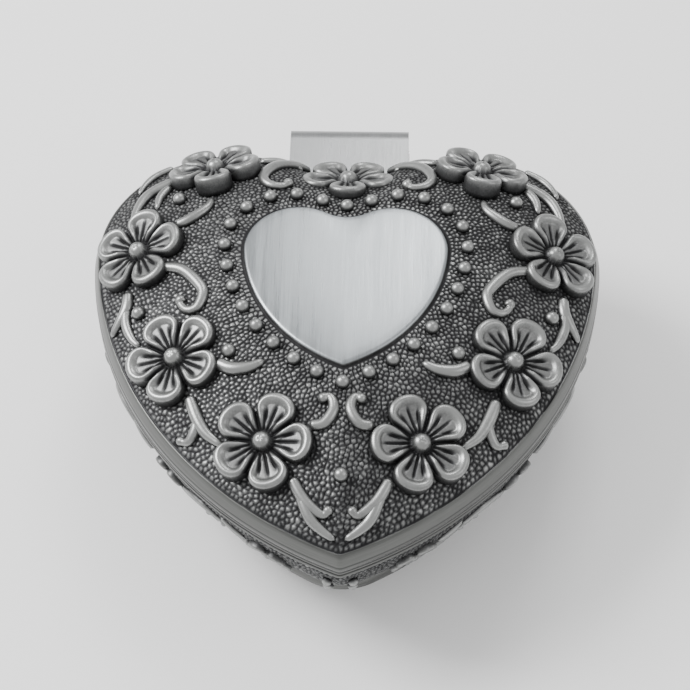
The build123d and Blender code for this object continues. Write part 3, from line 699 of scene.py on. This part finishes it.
def base_casting(marks):
    """Hollow heart wall of the base: plain top band, pebbled wall, plain foot band."""
    angles = even_angles(RAYS, 3.0)
    skin = Skin()

    def row(inset, tip, z, cavity, slot):
        skin.add(ring(angles, reach(angles, inset, tip), z), cavity, slot)

    for z in (9.2, 11.2, 17.0, 22.0, 28.6):
        row(*section_at(BASE_HOLLOW, z), z, 0.5, HOLLOW)
    for inset, z, cavity in ((2.3, PARTING_Z, 0.1), (0.4, PARTING_Z, 0.3), (0.1, 28.9, 0.6),
                             (0.0, 28.75, 0.0), (0.0, 28.2, 0.0), (0.1, 28.05, 0.2), (0.55, 27.95, 1.0)):
        row(inset, TIP_R, z, cavity, PLAIN_BAND)
    first = len(skin.rows)
    for z in np.linspace(27.8, 12.3, 66):
        row(*section_at(BASE_WALL, z), z, 0.0, GROUND)
    skin.raise_pebbles(first, marks, 45.0)
    for inset, z, cavity in ((7.0, 12.1, 1.0), (6.75, 12.0, 0.3), (6.6, 11.85, 0.0), (6.6, 9.3, 0.0),
                             (6.7, 9.1, 0.0), (6.9, FLOOR_Z, 0.1)):
        row(inset, 13.0, z, cavity, PLAIN_BAND)
    row(10.5, 13.0, FLOOR_Z, 0.3, HOLLOW)
    row(10.5, 13.0, 9.2, 0.5, HOLLOW)
    last = (len(skin.rows) - 1) * RAYS
    faces = strip_faces(len(skin.rows), RAYS)
    faces += [(last + a, last + (a + 1) % RAYS, (a + 1) % RAYS, a) for a in range(RAYS)]
    obj = new_object("base_casting", np.vstack(skin.rows), faces, np.concatenate(skin.dark))
    return obj, np.repeat(skin.slots[1:] + [HOLLOW], RAYS)


def combine_solids(obj, tool, operation):
    """Joins a tool solid to the object or takes it away, and removes the tool."""
    reshape(obj, "BOOLEAN", operation=operation, solver="EXACT", object=tool)
    bpy.data.objects.remove(tool)


def cut(obj, tool):
    combine_solids(obj, tool, "DIFFERENCE")


def join_solid(obj, tool):
    combine_solids(obj, tool, "UNION")


def apply_all(obj):
    """Bakes the object's modifiers into its mesh."""
    graph = bpy.context.evaluated_depsgraph_get()
    graph.update()
    mesh = bpy.data.meshes.new_from_object(obj.evaluated_get(graph))
    obj.modifiers.clear()
    obj.data = mesh


def reshape(obj, kind, **settings):
    """Runs one modifier on the object."""
    change = obj.modifiers.new(kind.lower(), kind)
    for key, value in settings.items():
        setattr(change, key, value)
    apply_all(obj)


def shade_smooth(obj):
    obj.data.polygons.foreach_set("use_smooth", [True] * len(obj.data.polygons))


def round_edges(obj, width):
    reshape(obj, "BEVEL", width=width * 0.001, segments=3, limit_method="ANGLE", angle_limit=math.radians(35))
    shade_smooth(obj)
    reshape(obj, "WEIGHTED_NORMAL", keep_sharp=True)


def prism(name, loop, low, high, axis=0):
    """Straight prism: a closed loop of (a, b) points pushed from low to high along an axis."""
    loop = np.asarray(loop, float)
    count = len(loop)
    ends = [np.insert(loop, axis, value, axis=1) for value in (low, high)]
    faces = strip_faces(2, count) + [tuple(range(count)), tuple(range(2 * count - 1, count - 1, -1))]
    return face_outwards(new_object(name, np.vstack(ends), faces, smooth=False))


def circle(x, y, radius, count=48):
    return arc(x, y, radius, 0, 2 * math.pi, count + 1)[:-1]


def heart_prism(name, inset, low, high):
    angles = even_angles(360)
    return prism(name, ring(angles, reach(angles, inset), 0)[:, :2], low, high, axis=2)


def base_floor():
    """Floor plate of the base with the hole for the winding arbor."""
    angles = even_angles(240)
    rim = ring(angles, reach(angles, 9.9, 12.0), 0)[:, :2]
    plate = prism("base_floor", rim, FLOOR_Z + 0.05, 11.2, axis=2)
    cut(plate, prism("hole", circle(*ARBOR_HOLE, 2.4), 5, 15, axis=2))
    return plate


def turned_feet(name, profile, ends, turns, wave=0.0):
    """A round piece at each foot: rows of radius, height and cavity, and the heights of its two ends."""
    pile = Pile()
    turn = np.linspace(0, 2 * math.pi, turns, endpoint=False)
    cavity = np.repeat([row[2] for row in profile], turns)
    for x, y in FEET:
        uneven = wave * np.sin(7 * turn + x) * np.cos(11 * turn)
        rows = []
        for radius, z, _ in profile:
            edge = radius + uneven
            rows.append(np.column_stack([x + edge * np.cos(turn), y + edge * np.sin(turn),
                                         np.full(turns, z)]))
        flat = np.vstack(rows + [(x, y, z) for z in ends])
        pile.add(flat, skin_faces(len(profile), turns), np.concatenate([cavity, [0.4, 1.0]]))
    return face_outwards(pile.build(name))


def feet():
    """Three short conical feet cast on the floor."""
    profile = [(3.35, 1.05, 0.4), (3.58, 1.12, 0.2), (3.72, 1.4, 0.0), (4.35, 7.2, 0.1), (4.6, 8.4, 0.5),
               (5.1, 9.1, 0.9)]
    return turned_feet("base_feet", profile, (1.05, 9.1), 48)


def felt_feet():
    """Felt discs glued under the feet, slightly wavy at the edge."""
    profile = [(3.05, 1.0, 0), (3.34, 0.86, 0), (3.42, 0.55, 0), (3.36, 0.2, 0), (3.15, 0.02, 0)]
    return turned_feet("felt_feet", profile, (1.0, 0.0), 40, wave=0.04)


def hinge_rod(name, radius, low, high, count=64):
    """Round solid on the hinge axis."""
    return prism(name, circle(HINGE_Y, HINGE_Z, radius, count), low, high)


def hinge_cover():
    """Leaf and rounded barrel over the hinge, hollow in the middle, solid cheeks at both ends."""
    top = HINGE_Z + COVER_R
    back = arc(HINGE_Y, HINGE_Z, COVER_R, math.pi / 2, 0, 28)
    loop = [(COVER_FRONT_Y, HINGE_Z - 0.1), (COVER_FRONT_Y, top)] + back.tolist()
    body = prism("hinge_cover", loop, -HINGE_HALF, HINGE_HALF)
    cut(body, heart_prism("under_lid", 1.3, 20, 40))
    half = KNUCKLE_HALF + 0.3
    cut(body, hinge_rod("bore", 4.1, -half, half))
    for low, high in ((-HINGE_HALF + 0.01, -half), (half, HINGE_HALF - 0.01)):
        join_solid(body, hinge_rod("cheek", KNUCKLE_R, low, high))
    cut(body, hinge_rod("pin_hole", 1.1, -HINGE_HALF - 1, HINGE_HALF + 1, 32))
    round_edges(body, 0.3)
    return body


def hinge_knuckle():
    """Neck and barrel that stand up from the back of the base."""
    neck = prism("hinge_knuckle", [(20.9, 28.6), (HINGE_Y - 3.3, 28.6), (HINGE_Y, HINGE_Z),
                                   (HINGE_Y - 0.9, HINGE_Z - 3.4), (20.2, 20.6)], -KNUCKLE_HALF, KNUCKLE_HALF)
    join_solid(neck, hinge_rod("barrel", KNUCKLE_R, -KNUCKLE_HALF, KNUCKLE_HALF))
    cut(neck, hinge_rod("pin_hole", 1.15, -HINGE_HALF - 1, HINGE_HALF + 1, 32))
    cut(neck, heart_prism("hollow", 2.0, 10, 40))
    round_edges(neck, 0.25)
    return neck


def striker():
    """Post inside the lid that presses the stop lever."""
    section = [(23.6, 23.4), (26.4, 23.4), (26.4, 27.4), (23.6, 27.4)]
    body = prism("lid_striker", section, LID_LOW + 0.2, 35.6, axis=2)
    round_edges(body, 0.3)
    return body


# ---------------------------------------------------------------- materials
def add_node(tree, kind, **values):
    node = tree.nodes.new(kind)
    for key, value in values.items():
        if key in node.inputs:
            node.inputs[key].default_value = value
        else:
            setattr(node, key, value)
    return node


def blank_material(name, **fixed):
    mat = bpy.data.materials.new(name)
    mat.use_nodes = True
    tree = mat.node_tree
    shader = tree.nodes["Principled BSDF"]
    for key, value in fixed.items():
        shader.inputs[key.replace("_", " ")].default_value = value
    return mat, tree, shader


def stretched_noise(tree, stretch, detail=4.0, rough=0.6):
    """Noise on the object's own coordinates, with a scale per axis in features per metre."""
    place = add_node(tree, "ShaderNodeTexCoord")
    scale = add_node(tree, "ShaderNodeMapping")
    scale.inputs["Scale"].default_value = stretch
    noise = add_node(tree, "ShaderNodeTexNoise", Scale=1.0, Detail=detail, Roughness=rough)
    tree.links.new(place.outputs["Object"], scale.inputs["Vector"])
    tree.links.new(scale.outputs["Vector"], noise.inputs["Vector"])
    return noise.outputs["Fac"]


def ramp(tree, source, stops):
    node = add_node(tree, "ShaderNodeValToRGB")
    points = node.color_ramp.elements
    while len(points) < len(stops):
        points.new(0.5)
    for point, (position, colour) in zip(points, stops):
        point.position = position
        point.color = (*colour, 1)
    tree.links.new(source, node.inputs["Fac"])
    return node.outputs["Color"]


def span(tree, source, low, high, from_low=0.0, from_high=1.0):
    node = add_node(tree, "ShaderNodeMapRange")
    for key, value in (("From Min", from_low), ("From Max", from_high), ("To Min", low), ("To Max", high)):
        node.inputs[key].default_value = value
    tree.links.new(source, node.inputs["Value"])
    return node.outputs["Result"]


def coat(tree, shader, colour, roughness, grain, strength, depth_mm):
    """Wires a colour, and a grain that sets both roughness and bump, into the shader."""
    tree.links.new(colour, shader.inputs["Base Color"])
    tree.links.new(span(tree, grain, *roughness, 0.3, 0.7), shader.inputs["Roughness"])
    bump(tree, shader, grain, strength, depth_mm)


def blended(tree, first, second, share):
    """The first value's share plus the rest of the second."""
    return combine(tree, "ADD", combine(tree, "MULTIPLY", first, share),
                   combine(tree, "MULTIPLY", second, 1 - share))


def combine(tree, operation, first, second, clamp=False):
    node = add_node(tree, "ShaderNodeMath", operation=operation, use_clamp=clamp)
    for socket, value in zip(node.inputs, (first, second)):
        if isinstance(value, (int, float)):
            socket.default_value = value
        else:
            tree.links.new(value, socket)
    return node.outputs["Value"]


def bump(tree, shader, source, strength, distance_mm):
    node = add_node(tree, "ShaderNodeBump", Strength=strength, Distance=distance_mm * 0.001)
    tree.links.new(source, node.inputs["Height"])
    tree.links.new(node.outputs["Normal"], shader.inputs["Normal"])


def pewter_relief():
    """Antiqued pewter: near-black patina in the furrows, painted contact shade round the foot of the flowers
    and scrolls, rubbed grey on whatever stands proud.
    """
    mat, tree, shader = blank_material("pewter_relief", Metallic=0.88)
    cavity = add_node(tree, "ShaderNodeAttribute", attribute_name="cavity").outputs["Fac"]
    patches = stretched_noise(tree, (260, 260, 260), 5)
    grain = stretched_noise(tree, (2600, 2600, 2600), 3)
    depth = cavity
    for noise, size in ((patches, 0.7), (grain, 0.35)):
        change = combine(tree, "MULTIPLY", combine(tree, "SUBTRACT", noise, 0.5), size)
        depth = combine(tree, "ADD", depth, change, clamp=noise is grain)
    colour = ramp(tree, depth, [(0.0, (0.285, 0.29, 0.285)), (0.22, (0.185, 0.187, 0.185)),
                                (0.55, (0.078, 0.079, 0.08)), (0.95, (0.02, 0.02, 0.021))])
    tree.links.new(colour, shader.inputs["Base Color"])
    tree.links.new(span(tree, depth, 0.34, 0.62), shader.inputs["Roughness"])
    bump(tree, shader, grain, 0.35, 0.05)
    return mat


def pewter_brushed(name, stretch, tone):
    """Plain pewter with fine brush lines along one direction."""
    mat, tree, shader = blank_material(name, Metallic=0.92)
    lines = stretched_noise(tree, stretch, 6, 0.7)
    broad = stretched_noise(tree, tuple(s * 0.12 for s in stretch), 3)
    both = blended(tree, lines, broad, 0.65)
    cavity = add_node(tree, "ShaderNodeAttribute", attribute_name="cavity").outputs["Fac"]
    hollows = combine(tree, "MULTIPLY", cavity, 0.75)
    depth = combine(tree, "ADD", hollows, combine(tree, "SUBTRACT", 0.75, both), clamp=True)
    colour = ramp(tree, depth, [(0.12, tuple(t * 1.12 for t in tone)), (0.42, tuple(t * 0.8 for t in tone)),
                                (0.95, (0.03, 0.03, 0.032))])
    tree.links.new(colour, shader.inputs["Base Color"])
    tree.links.new(span(tree, both, 0.22, 0.46, 0.3, 0.7), shader.inputs["Roughness"])
    bump(tree, shader, lines, 0.22, 0.03)
    return mat


def cast_metal(name, tone, grain_scale=1500, roughness=(0.38, 0.6), metallic=0.85):
    """As-cast metal with a sandy grain and faint stains."""
    mat, tree, shader = blank_material(name, Metallic=metallic)
    grain = stretched_noise(tree, (grain_scale,) * 3, 4)
    stain = stretched_noise(tree, (160, 160, 160), 4)
    colour = ramp(tree, stain, [(0.3, tuple(t * 0.72 for t in tone)), (0.7, tone)])
    coat(tree, shader, colour, roughness, grain, 0.4, 0.06)
    return mat


def machined_metal(name, tone, stretch, roughness=(0.16, 0.34), tint=None):
    """Turned or ground metal: fine lines one way, a little tarnish."""
    mat, tree, shader = blank_material(name, Metallic=1.0)
    lines = stretched_noise(tree, stretch, 5, 0.65)
    tarnish = stretched_noise(tree, (330, 330, 330), 4)
    colour = ramp(tree, tarnish, [(0.32, tint or tuple(t * 0.7 for t in tone)), (0.62, tone)])
    coat(tree, shader, colour, roughness, lines, 0.2, 0.02)
    return mat


def velvet_cloth():
    """Short wine-red pile: soft patches where it has been stroked, bright at grazing angles."""
    mat, tree, shader = blank_material("velvet_cloth", Metallic=0.0, Sheen_Roughness=0.35,
                                       Sheen_Tint=(0.75, 0.28, 0.34, 1), Specular_IOR_Level=0.1)
    pile = stretched_noise(tree, (5200, 5200, 5200), 3)
    strokes = stretched_noise(tree, (75, 40, 75), 3)
    colour = ramp(tree, blended(tree, pile, strokes, 0.5), [
        (0.34, (0.075, 0.005, 0.013)), (0.52, (0.125, 0.010, 0.024)), (0.7, (0.18, 0.018, 0.038))])
    coat(tree, shader, colour, (0.75, 1.0), pile, 0.8, 0.16)
    tree.links.new(span(tree, strokes, 0.35, 0.65, 0.35, 0.65), shader.inputs["Sheen Weight"])
    return mat


def matted_fibre(name, dark, light, scale=2600):
    """Felt or rough card: tangled fibres without shine."""
    mat, tree, shader = blank_material(name, Metallic=0.0)
    fibre = stretched_noise(tree, (scale, scale * 0.6, scale), 5, 0.75)
    coat(tree, shader, ramp(tree, fibre, [(0.35, dark), (0.68, light)]), (0.8, 1.0), fibre, 0.7, 0.12)
    return mat


def nylon():
    """Milky moulded plastic."""
    mat, tree, shader = blank_material("nylon_moulded", Metallic=0.0, Subsurface_Weight=0.15,
                                       Subsurface_Radius=(0.001, 0.001, 0.0008))
    cloud = stretched_noise(tree, (420, 420, 420), 3)
    colour = ramp(tree, cloud, [(0.3, (0.68, 0.665, 0.60)), (0.7, (0.80, 0.79, 0.73))])
    coat(tree, shader, colour, (0.34, 0.5), cloud, 0.15, 0.03)
    return mat


RELIEF = pewter_relief()
PLAQUE = pewter_brushed("pewter_plaque", (4200, 90, 300), (0.318, 0.338, 0.35))
# The plain bands round the sides get a far darker pewter tone than the plaque and relief: painted shade for
# these outward- and downward-facing sides.
BAND = pewter_brushed("pewter_band_painted_shade", (130, 130, 3600), (0.115, 0.117, 0.113))
HINGE = pewter_brushed("pewter_hinge", (3200, 140, 900), (0.26, 0.265, 0.268))
INSIDE = cast_metal("pewter_inside", (0.22, 0.22, 0.222))
UNDER = cast_metal("pewter_under", (0.30, 0.30, 0.30), 1100)
BED = cast_metal("bed_alloy_cast", (0.50, 0.50, 0.49), 1700, (0.3, 0.5))
VELVET = velvet_cloth()
FELT = matted_fibre("felt_black", (0.012, 0.012, 0.013), (0.05, 0.05, 0.055))
CARD = matted_fibre("card_backing", (0.22, 0.17, 0.12), (0.38, 0.31, 0.23), 1800)
NYLON = nylon()
BRASS = machined_metal("brass_turned", (0.72, 0.52, 0.22), (900, 3200, 3200), tint=(0.50, 0.33, 0.12))
BRASS_FLAT = machined_metal("brass_flat", (0.70, 0.50, 0.21), (2600, 700, 2600), tint=(0.48, 0.31, 0.11))
STEEL = machined_metal("steel_ground", (0.56, 0.56, 0.57), (3600, 160, 900))
STEEL_ROD = machined_metal("steel_rod", (0.58, 0.58, 0.59), (700, 2600, 2600), (0.12, 0.28))
BLUED = machined_metal("steel_blued", (0.16, 0.20, 0.34), (500, 500, 3600), (0.18, 0.32), (0.20, 0.15, 0.22))
NICKEL = machined_metal("nickel_plate", (0.70, 0.68, 0.64), (1400,) * 3, (0.08, 0.2), (0.6, 0.575, 0.53))

CAD_LOOKS = {
    BRASS: ("spring_housing", "cylinder"),
    BRASS_FLAT: ("great_wheel", "cylinder_wheel", "governor_frame", "air_fan"),
    STEEL: ("ratchet_wheel", "cylinder_pinion", "comb", "governor_pinion"),
    STEEL_ROD: ("hinge_pin", "winding_arbor", "cylinder_pins", "cylinder_arbor", "governor_arbor", "worm",
                "stop_lever_pin"),
    BLUED: ("mainspring", "click"),
    NICKEL: ("mounting_screws", "mounting_washers", "winding_key", "click_screw", "bearing_screws",
             "comb_screws", "governor_screws", "stop_lever"),
    BED: ("bedplate", "cylinder_bearing"),
    NYLON: ("worm_wheel",),
    CARD: ("lid_board",),
}


def dress(obj, *looks, index=None):
    """Gives an object its materials, and each face its own where there is an index."""
    obj.data.materials.clear()
    for look in looks:
        obj.data.materials.append(look)
    if index is not None:
        obj.data.polygons.foreach_set("material_index", np.asarray(index, np.int32))
    return obj


for look, node_names in CAD_LOOKS.items():
    for node_name in node_names:
        dress(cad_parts[node_name], look)


# ---------------------------------------------------------------- velvet linings
def lining_sheet(name, rows, facing, thickness):
    """Closed band of cloth with a little thickness, from rows of points and the directions they face."""
    columns = len(rows[0])
    size = len(rows) * columns
    low = size - columns
    front = np.vstack(rows)
    back = front - np.vstack(facing) * thickness
    faces = strip_faces(len(rows), columns)
    faces += [face[::-1] for face in strip_faces(len(rows), columns, size)]
    for col in range(columns):
        right = (col + 1) % columns
        faces.append((col, size + col, size + right, right))
        faces.append((low + col, low + right, size + low + right, size + low + col))
    return face_outwards(new_object(name, np.vstack([front, back]), faces))


def ripple(points, size, scale):
    """Slow unevenness of a glued cloth, in millimetres."""
    x, y, z = points[:, 0] * scale, points[:, 1] * scale, points[:, 2] * scale
    waves = np.sin(1.3 * x + 2 * np.sin(0.7 * y + z)) + np.sin(1.7 * y + 1.5 * np.sin(0.9 * x - z))
    return size * waves / 2


def floor_lining():
    """Velvet on the floor round the movement."""
    angles = even_angles(720, 9.0)
    inset, tip = section_at(BASE_HOLLOW, 11.9)
    outer = reach(angles, inset + 0.57, tip)
    left, right, front, back = MOVEMENT_BED
    sine, cosine = np.sin(angles), np.cos(angles)
    side = np.where(sine > 0, right, -left) / np.maximum(np.abs(sine), 1e-6)
    end = np.where(cosine > 0, back - CENTRE_Y, CENTRE_Y - front) / np.maximum(np.abs(cosine), 1e-6)
    inner = np.minimum(side, end)
    rows = []
    for share in np.linspace(0, 1, 26):
        z = 11.95 - 0.35 * math.exp(-share * 30) - 0.25 * math.exp(-(1 - share) * 30)
        row = ring(angles, inner + (outer - inner) * share, z)
        row[:, 2] += ripple(row, 0.05, 0.5)
        rows.append(row)
    up = [np.tile((0.0, 0.0, 1.0), (len(angles), 1))] * len(rows)
    return lining_sheet("velvet_floor", rows, up, 0.55)


def wall_lining():
    """Velvet strip round the inside of the wall, its top edge turned in."""
    angles = even_angles(720, 4.0)
    rows = []
    facing = []
    inward = -np.column_stack([np.sin(angles), np.cos(angles), np.zeros_like(angles)])
    for z, extra in ((11.7, 0.55), (14.0, 0.62), (17.0, 0.7), (19.5, 0.7), (22.0, 0.7), (25.0, 0.72),
                     (27.0, 0.75), (27.9, 0.72), (28.25, 0.6), (28.38, 0.4)):
        inset, tip = section_at(BASE_HOLLOW, z)
        row = ring(angles, reach(angles, inset + 0.12 + extra, tip), z)
        row += inward * (ripple(row, 0.05, 0.45) if z < 27.5 else 0 * angles)[:, None]
        rows.append(row)
        facing.append(inward)
    return lining_sheet("velvet_wall", rows, facing, 0.4)


def half_width_at(y, inset, tip):
    half = outline(inset, tip)
    front = half[half[:, 1] < -5]
    return float(np.interp(y, front[::-1, 1], front[::-1, 0]))


def velvet_divider():
    """Velvet-covered card across the box, with rounded edges."""
    loop = []
    for z in (26.0, 24.0, 22.0, 19.5, 17.0, 14.5, 12.15):
        inset, tip = section_at(BASE_HOLLOW, z)
        loop.append((half_width_at(DIVIDER_Y[0], inset + 1.3, tip), z))
    body = prism("velvet_divider", [(-x, z) for x, z in loop] + loop[::-1], *DIVIDER_Y, axis=1)
    round_edges(body, 0.35)
    return body


def crown_and_slots(obj, crown, slots, side):
    """Raises the shown side of a pad towards its middle and presses ring slots across it, in millimetres."""
    spots = vertex_vectors(obj) * 1000
    facing = vertex_vectors(obj, "normal")
    edge = spots[np.abs(facing[:, 2]) < 0.5]
    tree = kdtree.KDTree(len(edge))
    for n, spot in enumerate(edge):
        tree.insert((spot[0], spot[1], 0), n)
    tree.balance()
    gaps = np.array([tree.find((x, y, 0))[2] for x, y, _ in spots])
    shown = np.clip(side * facing[:, 2] * 1.6, 0, 1)
    rise = crown * (1 - np.exp(-gaps / 3.5))
    for y in slots:
        away = spots[:, 1] - SHIFT_Y - y
        inside = 1 - np.exp(-gaps / 1.5)
        rise -= 1.5 * np.exp(-(away / 0.5) ** 2) * inside
        rise += 0.35 * np.exp(-((np.abs(away) - 1.5) / 0.8) ** 2) * inside
    spots[:, 2] += side * rise * shown
    obj.data.vertices.foreach_set("co", (spots / 1000).ravel())


def soft_pad(name, node, voxel, cap, shrink, pressure, crown, slots=(), side=1):
    """Padded piece: the CAD solid remeshed and blown up by cloth simulation, then smoothed once."""
    low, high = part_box(node)
    middle = (low + high) / 2
    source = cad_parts[node]
    mesh = source.data.copy()
    mesh.materials.clear()
    obj = link(name, mesh)
    grow = 12.0
    size = high - low
    for vertex in mesh.vertices:
        offset = vertex.co - middle
        for axis in range(3):
            offset[axis] *= (size[axis] - 0.002 * shrink[axis]) / size[axis]
        vertex.co = offset * grow
    reshape(obj, "REMESH", mode="VOXEL", voxel_size=voxel * 0.001 * grow)
    start = vertex_vectors(obj)
    cloth = obj.modifiers.new("cloth", "CLOTH")
    cloth.settings.use_pressure = True
    cloth.settings.uniform_pressure_force = pressure
    cloth.settings.effector_weights.gravity = 0
    cloth.settings.quality = 5
    scene = bpy.context.scene
    for number in range(1, 21):
        scene.frame_set(number)
    apply_all(obj)
    scene.frame_set(1)
    step = vertex_vectors(obj) - start
    length = np.linalg.norm(step, axis=1)
    limit = cap * 0.001 * grow
    step *= np.minimum(1, limit / np.maximum(length, 1e-9))[:, None]
    final = (start + step) / grow + np.array(middle)
    obj.data.vertices.foreach_set("co", final.ravel())
    reshape(obj, "SMOOTH", iterations=9, factor=0.5)
    crown_and_slots(obj, crown, slots, side)
    reshape(obj, "SUBSURF", levels=1, render_levels=1)
    shade_smooth(obj)
    return obj


# ---------------------------------------------------------------- build the pieces
flowers, scrolls, beads, lid_marks = lid_relief()
lid, lid_index = lid_casting(lid_marks)
dress(face_outwards(lid), RELIEF, PLAQUE, BAND, INSIDE, index=lid_index)
for piece in (flowers, scrolls, beads):
    dress(face_outwards(piece), RELIEF)
cover = dress(hinge_cover(), HINGE)
post = dress(striker(), INSIDE)
for piece in (lid, flowers, scrolls, beads, cover, post):
    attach(piece, "lid")
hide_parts("lid_shell")

wall_flowers, wall_scrolls, wall_marks = base_relief()
base, base_index = base_casting(wall_marks)
dress(face_outwards(base), RELIEF, PLAQUE, BAND, UNDER, index=base_index)
for piece in (wall_flowers, wall_scrolls):
    dress(face_outwards(piece), RELIEF)
plate = dress(base_floor(), UNDER)
foot = dress(feet(), RELIEF)
knuckle = dress(hinge_knuckle(), HINGE)
for piece in (base, wall_flowers, wall_scrolls, plate, foot, knuckle):
    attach(piece, "base")
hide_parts("base_shell")

floor_cloth = dress(floor_lining(), VELVET)
wall_cloth = dress(wall_lining(), VELVET)
divider = dress(velvet_divider(), VELVET)
cushion = soft_pad("ring_cushion_velvet", "ring_cushion", voxel=0.55, cap=0.6, shrink=(0.8, 0.8, 0.3),
                   pressure=4.0, crown=0.9, slots=RING_SLOTS)
pad = soft_pad("lid_pad_velvet", "lid_pad", voxel=0.9, cap=0.6, shrink=(1.0, 1.0, 0.35),
               pressure=4.0, crown=0.8, side=-1)
dress(cushion, VELVET)
dress(pad, VELVET)
felt = dress(felt_feet(), FELT)
for piece, body, node, slot in (
        (floor_cloth, "base", "floor_lining", "velvet"), (wall_cloth, "base", "wall_lining", "velvet"),
        (divider, "base", "divider", "velvet"), (cushion, "base", "ring_cushion", "velvet"),
        (pad, "lid", "lid_pad", "velvet"), (felt, "base", "foot_pads", "felt")):
    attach(piece, body)
    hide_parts(node)


# ---------------------------------------------------------------- table, light and camera
bpy.ops.mesh.primitive_plane_add(size=6, location=(0, 0, 0))
table = bpy.context.object
table.name = "table_top"
dress(table, blank_material("pale_table", Roughness=0.7, Base_Color=(0.93, 0.93, 0.93, 1))[0])

world = bpy.data.worlds.new("studio")
bpy.context.scene.world = world
world.use_nodes = True
world.node_tree.nodes["Background"].inputs["Color"].default_value = (1, 1, 1, 1)
world.node_tree.nodes["Background"].inputs["Strength"].default_value = 0.95


def softbox(name, place, size, power):
    """Square soft light aimed at the box, placed in metres."""
    data = bpy.data.lights.new(name, "AREA")
    data.size = size
    data.energy = power
    lamp = link(name, data)
    lamp.location = place
    lamp.rotation_euler = (Vector((0, 0, 0.03)) - Vector(place)).to_track_quat("-Z", "Y").to_euler()


softbox("light_back", (0.12, 0.6, 0.7), 0.3, 2.6)
softbox("light_left", (-0.55, 0.15, 0.6), 0.35, 8.5)
softbox("light_right", (0.6, -0.1, 0.5), 0.35, 0.8)

ELEVATION = math.radians(53.0)
AZIMUTH = math.radians(1.53)
ROLL = math.radians(-0.52)
DISTANCE = 0.387
TARGET = Vector((0.00012, -0.0074, 0.037))
LENS = 102.8
back_dir = Vector((math.sin(AZIMUTH) * math.cos(ELEVATION), -math.cos(AZIMUTH) * math.cos(ELEVATION),
                   math.sin(ELEVATION)))
right_dir = Vector((math.cos(AZIMUTH), math.sin(AZIMUTH), 0))
up_dir = back_dir.cross(right_dir)
camera_x = right_dir * math.cos(ROLL) + up_dir * math.sin(ROLL)
camera_y = -right_dir * math.sin(ROLL) + up_dir * math.cos(ROLL)
camera_data = bpy.data.cameras.new("camera")
camera_data.lens = LENS
camera_data.sensor_width = 36
camera_data.clip_start = 0.01
camera = link("camera", camera_data)
facing = Matrix((camera_x, camera_y, back_dir)).transposed().to_4x4()
camera.matrix_world = Matrix.Translation(TARGET + back_dir * DISTANCE) @ facing
bpy.context.scene.camera = camera
